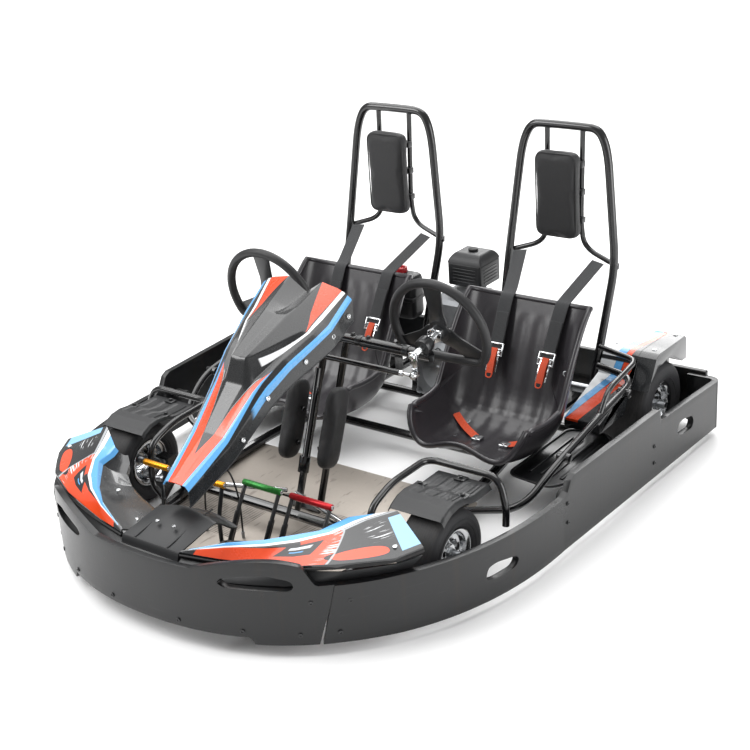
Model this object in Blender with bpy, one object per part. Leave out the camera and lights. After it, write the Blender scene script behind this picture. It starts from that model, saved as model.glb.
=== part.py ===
# Twin-seat rental go-kart: two bucket seats, two linked steering wheels and a board bumper all round.
# Metres, +Z up, tyres on z = 0. The nose points to -Y and the driver's left is +X.
import math

import bmesh
import bpy
from mathutils import Matrix, Vector

# ---------------------------------------------------------------- driving dimensions
GAP = 0.0005                 # clearance between pieces that touch
TUBE = 0.016                 # radius of the frame tubes
FRONT_AXLE_Y = -0.354
REAR_AXLE_Y = 0.727
FRONT_TYRE = {"radius": 0.127, "width": 0.130, "bead": 0.0638, "x": 0.560}
REAR_TYRE = {"radius": 0.140, "width": 0.180, "bead": 0.0638, "x": 0.605}
KINGPIN_X = 0.446
RAIL_Z = 0.060
TRAY_Z = 0.0405              # underside of the floor tray
SEAT_X = 0.330
HOOP_X = 0.324
COLUMN = {"x": 0.312, "y": 0.058, "z": 0.565, "tilt": math.radians(12)}
CRANK = 0.055                # length of the arms on the two steering columns
BUMPER = {"half_width": 0.768, "nose_depth": 0.870, "corner": 2.2, "y": -0.050,
          "wall": 0.020, "rear_half_width": 0.810, "rear_y": 0.900}
SIDES = (("left", 1), ("right", -1))
ROUND = 24                   # facets on a tyre


# ---------------------------------------------------------------- tools
def material(name, colour, roughness, metallic=0.0):
    finish = bpy.data.materials.get(name) or bpy.data.materials.new(name)
    finish.use_nodes = True
    shader = finish.node_tree.nodes["Principled BSDF"]
    shader.inputs["Base Color"].default_value = (*colour, 1.0)
    shader.inputs["Roughness"].default_value = roughness
    shader.inputs["Metallic"].default_value = metallic
    return finish


def bumper_plastic():
    return material("bumper_plastic", (0.016, 0.016, 0.017), 0.42)


def gloss_black():
    return material("gloss_black_steel", (0.008, 0.008, 0.009), 0.22, 0.6)


def chrome():
    return material("chrome", (0.75, 0.75, 0.76), 0.14, 1.0)


def steel():
    return material("steel", (0.42, 0.42, 0.43), 0.38, 1.0)


def rubber():
    return material("rubber", (0.020, 0.020, 0.020), 0.75)


def moulded_black():
    return material("moulded_black", (0.022, 0.022, 0.023), 0.38)


def pad_skin():
    return material("pad_skin", (0.028, 0.028, 0.028), 0.62)


def mesh_of(bm, name):
    bmesh.ops.remove_doubles(bm, verts=bm.verts, dist=1e-6)
    bmesh.ops.recalc_face_normals(bm, faces=bm.faces)
    mesh = bpy.data.meshes.new(name)
    bm.to_mesh(mesh)
    bm.free()
    return mesh


def put(name, mesh, finish, pivot=(0, 0, 0), smooth=True):
    """Put a mesh in the scene as a node whose origin is its pivot."""
    mesh.transform(Matrix.Translation(-Vector(pivot)))
    mesh.name = name
    mesh.materials.clear()
    mesh.materials.append(finish)
    if smooth:
        mesh.shade_smooth()
        mesh.set_sharp_from_angle(angle=math.radians(35))
    node = bpy.data.objects.new(name, mesh)
    node.location = pivot
    bpy.context.collection.objects.link(node)
    return node


def combine(node, meshes, operation="UNION"):
    """Join meshes to a node, or cut them from it, with hidden tool objects."""
    for count, mesh in enumerate(meshes):
        tool = bpy.data.objects.new(f"{node.name}_{operation.lower()}_{count}", mesh)
        tool.hide_render = True
        tool.display_type = "WIRE"
        bpy.context.collection.objects.link(tool)
        step = node.modifiers.new(f"{operation} {count}", "BOOLEAN")
        step.operation = operation
        step.solver = "EXACT"
        step.object = tool
    return node


def loft(sections, name="loft"):
    """Skin a row of equal outlines and close both ends."""
    bm = bmesh.new()
    rings = [[bm.verts.new(point) for point in outline] for outline in sections]
    size = len(rings[0])
    for low, high in zip(rings, rings[1:]):
        for i in range(size):
            j = (i + 1) % size
            bm.faces.new((low[i], low[j], high[j], high[i]))
    bm.faces.new(rings[0])
    bm.faces.new(rings[-1])
    return mesh_of(bm, name)


def box(low, high, name="box"):
    bm = bmesh.new()
    bmesh.ops.create_cube(bm, size=1.0)
    size = Vector(high) - Vector(low)
    middle = (Vector(high) + Vector(low)) / 2
    bmesh.ops.scale(bm, vec=size, verts=bm.verts)
    bmesh.ops.translate(bm, vec=middle, verts=bm.verts)
    return mesh_of(bm, name)


def soft_box(low, high, bevel, name="box", steps=2):
    mesh = box(low, high, name)
    bm = bmesh.new()
    bm.from_mesh(mesh)
    bmesh.ops.bevel(bm, geom=bm.edges[:], offset=bevel, segments=steps, affect="EDGES", profile=0.5)
    return mesh_of(bm, name)


def prism(outline, axis, low, high, name="prism"):
    """Extrude a flat outline along an axis: its points hold the other two coordinates in order."""
    def spot(point, level):
        values = list(point)
        values.insert("xyz".index(axis), level)
        return values
    return loft([[spot(point, low) for point in outline], [spot(point, high) for point in outline]], name)


def rod(start, end, radius, sides=12, name="rod"):
    start, end = Vector(start), Vector(end)
    run = end - start
    turn = run.to_track_quat("Z", "Y").to_matrix().to_4x4()
    bm = bmesh.new()
    bmesh.ops.create_cone(bm, cap_ends=True, segments=sides, radius1=radius, radius2=radius,
                          depth=run.length, matrix=Matrix.Translation((start + end) / 2) @ turn)
    return mesh_of(bm, name)


def turned(profile, centre, direction=(1, 0, 0), sides=ROUND, name="turned"):
    """Spin a closed profile of (along, radius) points about a line through centre."""
    bm = bmesh.new()
    rings = []
    for k in range(sides):
        angle = 2 * math.pi * k / sides
        rings.append([bm.verts.new((along, radius * math.cos(angle), radius * math.sin(angle)))
                      for along, radius in profile])
    size = len(profile)
    for k in range(sides):
        here, after = rings[k], rings[(k + 1) % sides]
        for i in range(size):
            j = (i + 1) % size
            corners = [here[i], here[j], after[j], after[i]]
            bm.faces.new(corners)
    turn = Vector(direction).to_track_quat("X", "Z").to_matrix().to_4x4()
    bmesh.ops.transform(bm, matrix=Matrix.Translation(centre) @ turn, verts=bm.verts)
    return mesh_of(bm, name)


def rounded(corners, bend, steps=3):
    """Replace each inner corner of a route by an arc-like curve that starts bend away from it."""
    corners = [Vector(corner) for corner in corners]
    route = [corners[0]]
    for before, corner, after in zip(corners, corners[1:], corners[2:]):
        reach_in = min(bend, (before - corner).length * 0.45)
        reach_out = min(bend, (after - corner).length * 0.45)
        start = corner + (before - corner).normalized() * reach_in
        end = corner + (after - corner).normalized() * reach_out
        for k in range(steps + 1):
            t = k / steps
            route.append(start * (1 - t) ** 2 + corner * 2 * t * (1 - t) + end * t ** 2)
    route.append(corners[-1])
    return route


def pipe(route, radius, resolution=3, name="pipe"):
    """A round bar along a route, taken from a bevelled curve with filled ends."""
    curve = bpy.data.curves.new(name, "CURVE")
    curve.dimensions = "3D"
    curve.bevel_depth = radius
    curve.bevel_resolution = resolution
    curve.use_fill_caps = True
    line = curve.splines.new("POLY")
    line.points.add(len(route) - 1)
    for point, place in zip(line.points, route):
        point.co = (*place, 1.0)
    guide = bpy.data.objects.new(name, curve)
    bpy.context.collection.objects.link(guide)
    bpy.context.view_layer.update()
    shape = guide.evaluated_get(bpy.context.evaluated_depsgraph_get())
    mesh = bpy.data.meshes.new_from_object(shape)
    bpy.data.objects.remove(guide, do_unlink=True)
    bm = bmesh.new()
    bm.from_mesh(mesh)
    return mesh_of(bm, name)


def mirrored(points, side):
    return [(side * x, y, z) for x, y, z in points]


def span(low, high):
    """Order two x values, which swap on the right-hand side of the kart."""
    return (low, high) if low < high else (high, low)


def side_box(side, x_range, y_range, z_range, bevel=0.0):
    low_x, high_x = span(side * x_range[0], side * x_range[1])
    low = (low_x, y_range[0], z_range[0])
    high = (high_x, y_range[1], z_range[1])
    return soft_box(low, high, bevel, steps=1) if bevel else box(low, high)


# ---------------------------------------------------------------- frame
def build_frame():
    """The welded frame: two rails, cross tubes, the front beam with its yokes and the bar behind the bumper."""
    black = gloss_black()
    rails = []
    for _, side in SIDES:
        route = [(0.200, -0.842, 0.132), (0.205, -0.760, RAIL_Z + 0.004), (0.330, -0.620, RAIL_Z),
                 (0.385, -0.300, RAIL_Z), (0.400, 0.100, RAIL_Z), (0.350, 0.420, RAIL_Z), (0.340, 0.860, RAIL_Z)]
        rails.append(pipe(rounded(mirrored(route, side), 0.08, 3), TUBE))
    frame = put("frame", rails[0], black)
    parts = [rails[1]]
    for y, reach in ((0.300, 0.368), (0.585, 0.505), (0.845, 0.340)):
        parts.append(rod((-reach, y, RAIL_Z), (reach, y, RAIL_Z), TUBE - 0.002))
    reach = KINGPIN_X - 0.026
    parts.append(rod((-reach, FRONT_AXLE_Y, 0.098), (reach, FRONT_AXLE_Y, 0.098), TUBE - 0.001))
    route = [(-0.515, -0.560, 0.105), (-0.455, -0.690, 0.125), (-0.200, -0.842, 0.135), (0.200, -0.842, 0.135),
             (0.455, -0.690, 0.125), (0.515, -0.560, 0.105)]
    parts.append(pipe(rounded(route, 0.12, 4), 0.011))
    for _, side in SIDES:
        parts.append(rod((side * 0.377, FRONT_AXLE_Y, RAIL_Z), (side * 0.377, FRONT_AXLE_Y, 0.098), 0.010))
        y_range = (FRONT_AXLE_Y - 0.0175, FRONT_AXLE_Y + 0.0175)
        parts.append(side_box(side, (KINGPIN_X - 0.034, KINGPIN_X - 0.024), y_range, (0.0841, 0.1693)))
        y_plate = (FRONT_AXLE_Y - 0.0170, FRONT_AXLE_Y + 0.0170)
        for low in (0.0845, 0.1625):
            parts.append(side_box(side, (KINGPIN_X - 0.030, KINGPIN_X + 0.017), y_plate, (low, low + 0.0064)))
        housing = [(-0.014, 0.0156), (-0.014, 0.0340), (0.014, 0.0340), (0.014, 0.0156)]
        parts.append(turned(housing, (side * 0.340, REAR_AXLE_Y, REAR_TYRE["radius"]), sides=16))
        parts.append(side_box(side, (0.3275, 0.3525), (REAR_AXLE_Y - 0.024, REAR_AXLE_Y + 0.024), (RAIL_Z, 0.1150)))
    combine(frame, parts)


def build_floor():
    outline = [(0.25, -0.700), (0.40, -0.520), (0.430, -0.250), (0.430, 0.050)]
    plan = outline + [(-x, y) for x, y in reversed(outline)]
    put("floor_tray", prism(plan, "z", TRAY_Z, TRAY_Z + 0.003), material("tray_aluminium", (0.50, 0.46, 0.43), 0.45, 0.9),
        smooth=False)


def build_side_bars():
    """Tube loops beside the seats and the hoops round the front wheels."""
    black = gloss_black()
    for word, side in SIDES:
        low_loop = [(0.425, -0.070, RAIL_Z + 0.012), (0.640, -0.060, 0.130), (0.672, 0.080, 0.215),
                    (0.668, 0.400, 0.262), (0.668, 0.575, 0.285), (0.530, 0.600, 0.292)]
        bar = put(f"side_bar_{word}", pipe(rounded(mirrored(low_loop, side), 0.07, 3), 0.011), black)
        top_loop = [(0.668, 0.350, 0.258), (0.668, 0.400, 0.318), (0.665, 0.590, 0.340), (0.530, 0.610, 0.352)]
        combine(bar, [pipe(rounded(mirrored(top_loop, side), 0.035, 3), 0.0085)])
        guard = [(0.362, -0.458, 0.092), (0.404, -0.455, 0.125), (0.404, -0.442, 0.250), (0.404, -0.340, 0.282),
                 (0.408, -0.172, 0.282),
                 (0.640, -0.172, 0.282), (0.668, -0.185, 0.200), (0.668, -0.190, 0.150)]
        put(f"wheel_guard_{word}", pipe(rounded(mirrored(guard, side), 0.04, 3), 0.010), black)


# ---------------------------------------------------------------- bumper boards
def nose_point(angle):
    """A point on the outer face of the front half of the bumper, angle 0 straight ahead."""
    power = 2 / BUMPER["corner"]
    x = BUMPER["half_width"] * math.copysign(abs(math.sin(angle)) ** power, angle)
    y = BUMPER["y"] - BUMPER["nose_depth"] * math.cos(angle) ** power
    return x, y


def board(route):
    """Loft a board from stations of (low point, high point, inward direction, low z, high z)."""
    wall = BUMPER["wall"]
    sections = []
    for low, high, inward, z_low, z_high in route:
        sections.append([(low[0], low[1], z_low), (high[0], high[1], z_high),
                         (high[0] + inward[0] * wall, high[1] + inward[1] * wall, z_high),
                         (low[0] + inward[0] * wall, low[1] + inward[1] * wall, z_low)])
    return loft(sections, "board")


def inward_at(angle):
    ahead, behind = nose_point(angle + 0.002), nose_point(angle - 0.002)
    run = Vector((ahead[0] - behind[0], ahead[1] - behind[1])).normalized()
    return -run.y, run.x


def front_top(x):
    """Height of the top edge: low at the centre, a raised horn each side, then a drop."""
    x = abs(x)
    if x < 0.17:
        return 0.240
    if x < 0.37:
        return 0.240 + 0.039 * math.sin((x - 0.17) / 0.20 * math.pi / 2)
    if x < 0.44:
        return 0.279 - 0.014 * ((x - 0.37) / 0.07) ** 2
    drop = min((x - 0.44) / 0.035, 1.0)
    return 0.265 - 0.058 * (3 * drop ** 2 - 2 * drop ** 3)


def front_bottom(x):
    return 0.057 if abs(x) < 0.325 else 0.037


def angle_at(x):
    return math.asin((abs(x) / BUMPER["half_width"]) ** (BUMPER["corner"] / 2))


SPLIT = {"low": angle_at(0.470), "high": angle_at(0.512)}
SEAM = 0.002                 # half the gap between two boards, as an angle


def split_low(x):
    """Where the lower end of a station goes, so the last ones lean over towards the slanted split."""
    if abs(x) <= 0.44:
        return x
    return math.copysign(0.44 + (abs(x) - 0.44) * (0.470 - 0.44) / (0.512 - 0.44), x)


def build_bumper_front():
    half = [0.08, 0.17, 0.20, 0.24, 0.28, 0.322, 0.335, 0.37, 0.405, 0.44, 0.449, 0.4575, 0.466, 0.475]
    stations = []
    for x in [-x for x in reversed(half)] + [0.0] + half:
        high, low = math.copysign(angle_at(x), x), math.copysign(angle_at(split_low(x)), x)
        inward = inward_at((low + high) / 2) if x else (0.0, 1.0)
        stations.append((nose_point(low), nose_point(high), inward, front_bottom(x), front_top(x)))
    for side, where in ((-1, 0), (1, len(stations) + 1)):
        low, high = side * (SPLIT["low"] - SEAM), side * (SPLIT["high"] - SEAM)
        stations.insert(where, (nose_point(low), nose_point(high), inward_at((low + high) / 2), 0.037, 0.205))
    front = put("bumper_front", board(stations), bumper_plastic())
    slots = []
    for _, side in SIDES:
        lens = [(0.245, 0.212), (0.262, 0.200), (0.345, 0.198), (0.418, 0.196), (0.428, 0.210), (0.420, 0.226),
                (0.365, 0.242), (0.305, 0.236), (0.258, 0.226)]
        slots.append(prism([(side * x, z) for x, z in lens], "y", -0.98, -0.70, "slot"))
    combine(front, slots, "DIFFERENCE")


def side_station(side, point, inward, z_low, z_high):
    place = (side * point[0], point[1])
    return place, place, (side * inward[0], inward[1]), z_low, z_high


def build_bumper_sides():
    """Boards from the slanted front split, past a step up and a notch, round the rear corners."""
    flare = (BUMPER["rear_half_width"] - BUMPER["half_width"]) / (BUMPER["rear_y"] - BUMPER["y"])
    for word, side in SIDES:
        stations = []
        start_low, start_high = SPLIT["low"] + SEAM, SPLIT["high"] + SEAM
        inward = inward_at((start_low + start_high) / 2)
        low, high = nose_point(start_low), nose_point(start_high)
        stations.append(((side * low[0], low[1]), (side * high[0], high[1]), (side * inward[0], inward[1]),
                         0.036, 0.205))
        for degrees in (44, 50, 56, 62, 68, 74, 80, 86):
            angle = math.radians(degrees)
            z_low = 0.030 + 0.005 * (90 - degrees) / 46
            z_high = 0.193 + 0.013 * (90 - degrees) / 46
            stations.append(side_station(side, nose_point(angle), inward_at(angle), z_low, z_high))
        tops = ((-0.050, 0.193), (-0.030, 0.203), (-0.012, 0.233), (0.010, 0.243), (0.488, 0.243),
                (0.494, 0.239), (0.496, 0.205), (0.540, 0.200), (0.556, 0.203), (0.864, 0.190))
        for y, z_high in tops:
            x = BUMPER["half_width"] + flare * (y - BUMPER["y"])
            stations.append(side_station(side, (x, y), (-1.0, 0.0), 0.030, z_high))
        corner = 0.036
        for degrees in (22, 45, 68, 90):
            angle = math.radians(degrees)
            centre = (BUMPER["rear_half_width"] - corner, BUMPER["rear_y"] - corner)
            point = (centre[0] + corner * math.cos(angle), centre[1] + corner * math.sin(angle))
            stations.append(side_station(side, point, (-math.cos(angle), -math.sin(angle)), 0.030, 0.190))
        stations.append(side_station(side, (0.700, BUMPER["rear_y"]), (0.0, -1.0), 0.030, 0.190))
        shell = put(f"bumper_{word}", board(stations), bumper_plastic())
        front_slot = [(-0.385, 0.100), (-0.375, 0.132), (-0.345, 0.137), (-0.275, 0.125), (-0.262, 0.110),
                      (-0.278, 0.092), (-0.350, 0.089)]
        rear_slot = [(0.605, 0.120), (0.615, 0.148), (0.640, 0.152), (0.700, 0.140), (0.712, 0.118),
                     (0.700, 0.098), (0.625, 0.102)]
        cuts = []
        for outline in (front_slot, rear_slot):
            low_x, high_x = span(side * 0.66, side * 0.86)
            cuts.append(prism(outline, "x", low_x, high_x, "slot"))
        combine(shell, cuts, "DIFFERENCE")


def build_bumper_rear():
    y = BUMPER["rear_y"] + GAP
    width = 0.755
    outline = [(0.030, 0.0), (0.196, 0.0), (0.200, 0.004), (0.200, 0.0155), (0.196, 0.0195), (0.030, 0.0195)]
    sections = []
    for x in (-width, -0.5, -0.2, 0.2, 0.5, width):
        sections.append([(x, y + depth, z) for z, depth in outline])
    put("bumper_rear", loft(sections, "board"), bumper_plastic())


# ---------------------------------------------------------------- nose, steering fairing, mudguards
NOSE_POD = (                 # front lip, edge of the slope, crest, inner rear edge: each x, y, z
    ((0.105, -0.864, 0.247), (0.108, -0.860, 0.250), (0.110, -0.856, 0.251), (0.105, -0.690, 0.196)),
    ((0.215, -0.838, 0.246), (0.222, -0.822, 0.270), (0.223, -0.812, 0.283), (0.180, -0.660, 0.198)),
    ((0.307, -0.808, 0.246), (0.318, -0.772, 0.276), (0.300, -0.756, 0.285), (0.255, -0.640, 0.208)),
    ((0.400, -0.778, 0.248), (0.383, -0.721, 0.280), (0.350, -0.705, 0.287), (0.315, -0.615, 0.215)),
    ((0.508, -0.725, 0.259), (0.444, -0.638, 0.284), (0.400, -0.652, 0.289), (0.352, -0.595, 0.235)),
    ((0.609, -0.620, 0.252), (0.485, -0.560, 0.298), (0.412, -0.595, 0.288), (0.372, -0.560, 0.250)),
    ((0.646, -0.545, 0.258), (0.530, -0.488, 0.303), (0.425, -0.560, 0.290), (0.392, -0.545, 0.264)))


NOSE_UNDER = (              # where the pod's inner wall stands below each station: x, y, foot, head
    (0.112, -0.850, 0.165, 0.235), (0.215, -0.825, 0.165, 0.238), (0.300, -0.804, 0.165, 0.240),
    (0.385, -0.760, 0.165, 0.248), (0.470, -0.700, 0.165, 0.258), (0.530, -0.632, 0.190, 0.262))


def build_nose():
    """Two painted side pods that lap over the front board, and a low black centre cover."""
    for word, side in SIDES:
        sections = []
        for station, under in zip(NOSE_POD, NOSE_UNDER):
            lip, edge, crest, inner = station
            x, y, foot, head = under
            low = [(inner[0], inner[1] - 0.002, foot), (x, y, foot), (x, y, head), (lip[0], lip[1], lip[2] - 0.014)]
            sections.append([(side * px, py, pz) for px, py, pz in list(station) + low])
        last = [(side * x, y, z) for x, y, z in NOSE_POD[-1]]
        sections.append(last + [(x, y, z - 0.014) for x, y, z in reversed(last)])
        put(f"nose_{word}", loft(sections, "pod"), material("painted_pod", (0.62, 0.20, 0.09), 0.25))
    centre = [(-0.095, 0.149), (-0.095, 0.205), (-0.060, 0.232), (0.060, 0.232), (0.095, 0.205), (0.095, 0.149)]
    sections = []
    for y, drop in ((-0.876, -0.006), (-0.862, -0.014), (-0.780, 0.016), (-0.640, 0.030)):
        sections.append([(x, y, z if z < 0.16 else z - drop) for x, z in centre])
    put("nose_centre", loft(sections, "cover"), moulded_black())


FAIRING = (                  # y, then x, z from the middle out: ridge, facet, slope foot, edge, wall top, wall foot
    (-0.142, ((0, 0.700), (0.060, 0.739), (0.095, 0.732), (0.112, 0.729), (0.136, 0.720), (0.160, 0.704),
              (0.163, 0.640))),
    (-0.235, ((0, 0.684), (0.050, 0.702), (0.084, 0.684), (0.106, 0.672), (0.130, 0.662), (0.155, 0.648),
              (0.158, 0.590))),
    (-0.284, ((0, 0.683), (0.042, 0.686), (0.098, 0.652), (0.108, 0.646), (0.122, 0.640), (0.142, 0.626),
              (0.145, 0.568))),
    (-0.380, ((0, 0.644), (0.032, 0.647), (0.059, 0.630), (0.076, 0.600), (0.096, 0.600), (0.117, 0.586),
              (0.120, 0.530))),
    (-0.454, ((0, 0.615), (0.023, 0.617), (0.026, 0.614), (0.050, 0.558), (0.075, 0.556), (0.096, 0.541),
              (0.099, 0.484))),
    (-0.482, ((0, 0.546), (0.028, 0.546), (0.034, 0.544), (0.048, 0.538), (0.069, 0.536), (0.090, 0.520),
              (0.093, 0.462))),
    (-0.600, ((0, 0.449), (0.018, 0.449), (0.024, 0.448), (0.040, 0.446), (0.057, 0.444), (0.074, 0.430),
              (0.077, 0.378))),
    (-0.700, ((0, 0.393), (0.014, 0.393), (0.018, 0.392), (0.028, 0.391), (0.042, 0.389), (0.056, 0.377),
              (0.058, 0.330))),
    (-0.748, ((0, 0.366), (0.011, 0.366), (0.014, 0.366), (0.024, 0.365), (0.035, 0.364), (0.046, 0.352),
              (0.048, 0.306))))


def build_fairing():
    """The blade-shaped cover over the steering shaft, open underneath."""
    sections = []
    wall = 0.006
    for y, half in FAIRING:
        inner = [(x * 0.94, z - 0.010) for x, z in half[:-1]] + [(half[-1][0] - wall, half[-1][1])]
        outline = [(-x, z) for x, z in reversed(half[1:])] + list(half)
        outline += [(x, z) for x, z in reversed(inner)] + [(-x, z) for x, z in inner[1:]]
        sections.append([(x, y, z) for x, z in outline])
    put("steering_fairing", loft(sections, "fairing"), moulded_black())


def build_mudguards():
    """Small plastic panels under the wheel hoops, over the front tyres."""
    skin = ((-0.424, 0.262), (-0.412, 0.272), (-0.385, 0.284), (-0.352, 0.288), (-0.318, 0.284), (-0.290, 0.273),
            (-0.262, 0.268), (-0.190, 0.268))
    for word, side in SIDES:
        sections = []
        for y, z in skin:
            sections.append([(side * 0.448, y, z - 0.004), (side * 0.628, y, z - 0.004), (side * 0.628, y, z),
                             (side * 0.448, y, z)])
        put(f"mudguard_{word}", loft(sections, "arch"), moulded_black())


def build_rear_pods():
    """Covers over the rear wheels: a sloping top, a stepped front and an arch for the tyre."""
    for word, side in SIDES:
        arch = []
        for degrees in (18, 45, 70, 90, 110, 135, 160):
            angle = math.radians(degrees)
            arch.append((REAR_AXLE_Y + 0.158 * math.cos(angle), 0.140 + 0.158 * math.sin(angle)))
        outer = [(0.872, 0.250), (0.872, 0.318), (0.860, 0.330), (0.680, 0.335), (0.655, 0.325), (0.618, 0.262),
                 (0.400, 0.196), (0.400, 0.165), (0.560, 0.165)]
        low_x, high_x = span(side * 0.520, side * 0.640)
        pod = put(f"rear_pod_{word}", prism(outer + arch[::-1], "x", low_x, high_x, "pod"),
                  material("pod_white", (0.80, 0.80, 0.80), 0.25), smooth=False)
        wing = [(0.8715, 0.250), (0.8715, 0.3175), (0.8595, 0.3295), (0.680, 0.3345), (0.6555, 0.324), (0.620, 0.262),
                (0.600, 0.235)]
        low_x, high_x = span(side * 0.600, side * 0.700)
        combine(pod, [prism(wing + arch[1:6][::-1], "x", low_x, high_x, "wing")])


# ---------------------------------------------------------------- seats, hoops and belts
def seat_spine(t):
    """Side view of the middle of a seat, t from the front lip to the top of the back."""
    points = [(0.095, 0.172), (0.125, 0.145), (0.195, 0.118), (0.275, 0.106), (0.350, 0.112), (0.410, 0.142),
              (0.450, 0.200), (0.485, 0.280), (0.520, 0.360), (0.555, 0.435), (0.578, 0.485)]
    place = t * (len(points) - 1)
    k = min(int(place), len(points) - 2)
    f = place - k
    a, b = points[k], points[k + 1]
    return a[0] + (b[0] - a[0]) * f, a[1] + (b[1] - a[1]) * f


def seat_point(u, t, x_middle):
    """A point on the seat: u runs across from -1 to 1 and t along the spine from 0 to 1."""
    y, z = seat_spine(t)
    y_next, z_next = seat_spine(min(t + 0.01, 1.0))
    y_last, z_last = seat_spine(max(t - 0.01, 0.0))
    run = Vector((y_next - y_last, z_next - z_last)).normalized()
    up = Vector((-run.y, run.x))
    half = 0.213 + 0.007 * math.sin(math.pi * t) - 0.012 * (1 - t) ** 2
    wing = 0.125 * math.sin(math.pi * (0.16 + 0.74 * t)) ** 0.8 + 0.012
    lift = wing * abs(u) ** 3.2
    channel = 0.018 * (1 - t) ** 4 * math.cos(2 * math.pi * u)
    side = half * math.sin(u * math.pi / 2 * 0.92) / math.sin(math.pi / 2 * 0.92)
    return x_middle + side, y + up.x * lift, z + up.y * lift + channel


def build_seats():
    across, along = 12, 14
    for word, side in SIDES:
        bm = bmesh.new()
        grid = [[bm.verts.new(seat_point(-1 + 2 * i / across, j / along, side * SEAT_X)) for i in range(across + 1)]
                for j in range(along + 1)]
        for j in range(along):
            for i in range(across):
                bm.faces.new((grid[j][i], grid[j][i + 1], grid[j + 1][i + 1], grid[j + 1][i]))
        seat = put(f"seat_{word}", mesh_of(bm, "seat"), material("seat_shell", (0.030, 0.029, 0.029), 0.36))
        wall = seat.modifiers.new("wall", "SOLIDIFY")
        wall.thickness = 0.006
        wall.offset = 0.0
        wall.use_even_offset = True


def hoop_route(middle):
    """The tall roll hoop behind one seat, from its left foot over the top to its right foot."""
    half = [(0.168, 0.585, 0.079), (0.190, 0.743, 0.575), (0.150, 0.772, 0.925), (0.118, 0.777, 0.991),
            (0.050, 0.777, 0.993)]
    left = [(middle - x, y, z) for x, y, z in half]
    right = [(middle + x, y, z) for x, y, z in reversed(half)]
    return left + right


def build_hoops():
    black = gloss_black()
    for word, side in SIDES:
        middle = side * HOOP_X
        hoop = put(f"roll_hoop_{word}", pipe(rounded(hoop_route(middle), 0.065, 4), 0.0135, 3), black)
        struts = []
        for hand in (-1, 1):
            strut = [(middle + hand * 0.062, 0.777, 0.985), (middle + hand * 0.060, 0.765, 0.690),
                     (middle + hand * 0.072, 0.763, 0.610), (middle + hand * 0.186, 0.750, 0.572)]
            struts.append(pipe(rounded(strut, 0.05, 3), 0.0085, 2))
        combine(hoop, struts)
        pad = soft_box((middle - 0.080, 0.707, 0.640), (middle + 0.080, 0.7500, 0.930), 0.016, "pad", 2)
        put(f"headrest_{word}", pad, pad_skin())


def build_belts():
    """Two shoulder belts to a seat, from the hoop's knees over the seat's top edge to the buckles."""
    webbing = material("belt_webbing", (0.030, 0.030, 0.031), 0.7)
    wall, width = 0.0022, 0.046
    for word, side in SIDES:
        for hand_word, hand in (("inner", -side), ("outer", side)):
            top = Vector((side * HOOP_X + hand * 0.140, 0.726, 0.583))
            middle = Vector((side * SEAT_X + hand * 0.098, 0.5585, 0.492))
            low = Vector((side * SEAT_X + hand * 0.092, 0.472, 0.340))
            route = [top, middle + Vector((0, 0.02, 0.006)), middle, low]
            sections = []
            for k, point in enumerate(route):
                before, after = route[max(k - 1, 0)], route[min(k + 1, len(route) - 1)]
                run = (after - before).normalized()
                across = Vector((width / 2, 0, 0))
                thick = run.cross(across).normalized() * wall / 2
                sections.append([point - across - thick, point + across - thick,
                                 point + across + thick, point - across + thick])
            put(f"belt_{word}_{hand_word}", loft(sections, "belt"), webbing)


# ---------------------------------------------------------------- wheels
def tyre_profile(size):
    half = size["width"] / 2
    radius, bead = size["radius"], size["bead"]
    seat = half - 0.0185
    right = [(seat, bead), (seat, 0.0750), (half - 0.006, bead + 0.020), (half, bead + 0.034),
             (half - 0.003, radius - 0.016), (half - 0.018, radius - 0.004), (half * 0.45, radius)]
    return right + [(-x, r) for x, r in reversed(right)]


def rim_profile(size, bore, dish):
    """Half section of a rim: two flanges, the barrel and a web set in by dish from the outer side."""
    edge = size["width"] / 2 - 0.0180
    outer = edge + 0.006
    web = edge - dish
    return [(-outer, 0.0735), (-edge, 0.0735), (-edge, 0.0632), (edge, 0.0632), (edge, 0.0735), (outer, 0.0735),
            (outer, 0.0695), (edge, 0.0585), (web + 0.004, 0.0585), (web + 0.003, 0.034), (web + 0.018, 0.026),
            (web + 0.018, bore), (web - 0.022, bore), (web - 0.022, 0.026), (web - 0.004, 0.034),
            (web - 0.004, 0.0585), (-edge, 0.0585), (-outer, 0.0695)]


def build_wheels():
    for word, side in SIDES:
        for end, size, y in (("front", FRONT_TYRE, FRONT_AXLE_Y), ("rear", REAR_TYRE, REAR_AXLE_Y)):
            centre = (side * size["x"], y, size["radius"])
            put(f"{end}_tyre_{word}", turned(tyre_profile(size), centre), rubber(), centre)
            profile = [(side * x, r) for x, r in rim_profile(size, 0.0125, 0.030)]
            put(f"{end}_rim_{word}", turned(profile, centre, sides=20), chrome(), centre)


def build_knuckles():
    """Stub axle, kingpin boss and steering arm of each front wheel, in one forging."""
    for word, side in SIDES:
        pivot = (side * KINGPIN_X, FRONT_AXLE_Y, 0.127)
        boss = rod((pivot[0], pivot[1], 0.0914), (pivot[0], pivot[1], 0.1620), 0.0135, 14)
        knuckle = put(f"knuckle_{word}", boss, steel(), pivot)
        stub = rod((side * (KINGPIN_X + 0.004), FRONT_AXLE_Y, 0.127), (side * 0.6265, FRONT_AXLE_Y, 0.127), 0.0120)
        arm = side_box(side, (KINGPIN_X - 0.008, KINGPIN_X + 0.008), (FRONT_AXLE_Y - 0.086, FRONT_AXLE_Y - 0.004),
                       (0.1355, 0.1455))
        combine(knuckle, [stub, arm])


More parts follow.
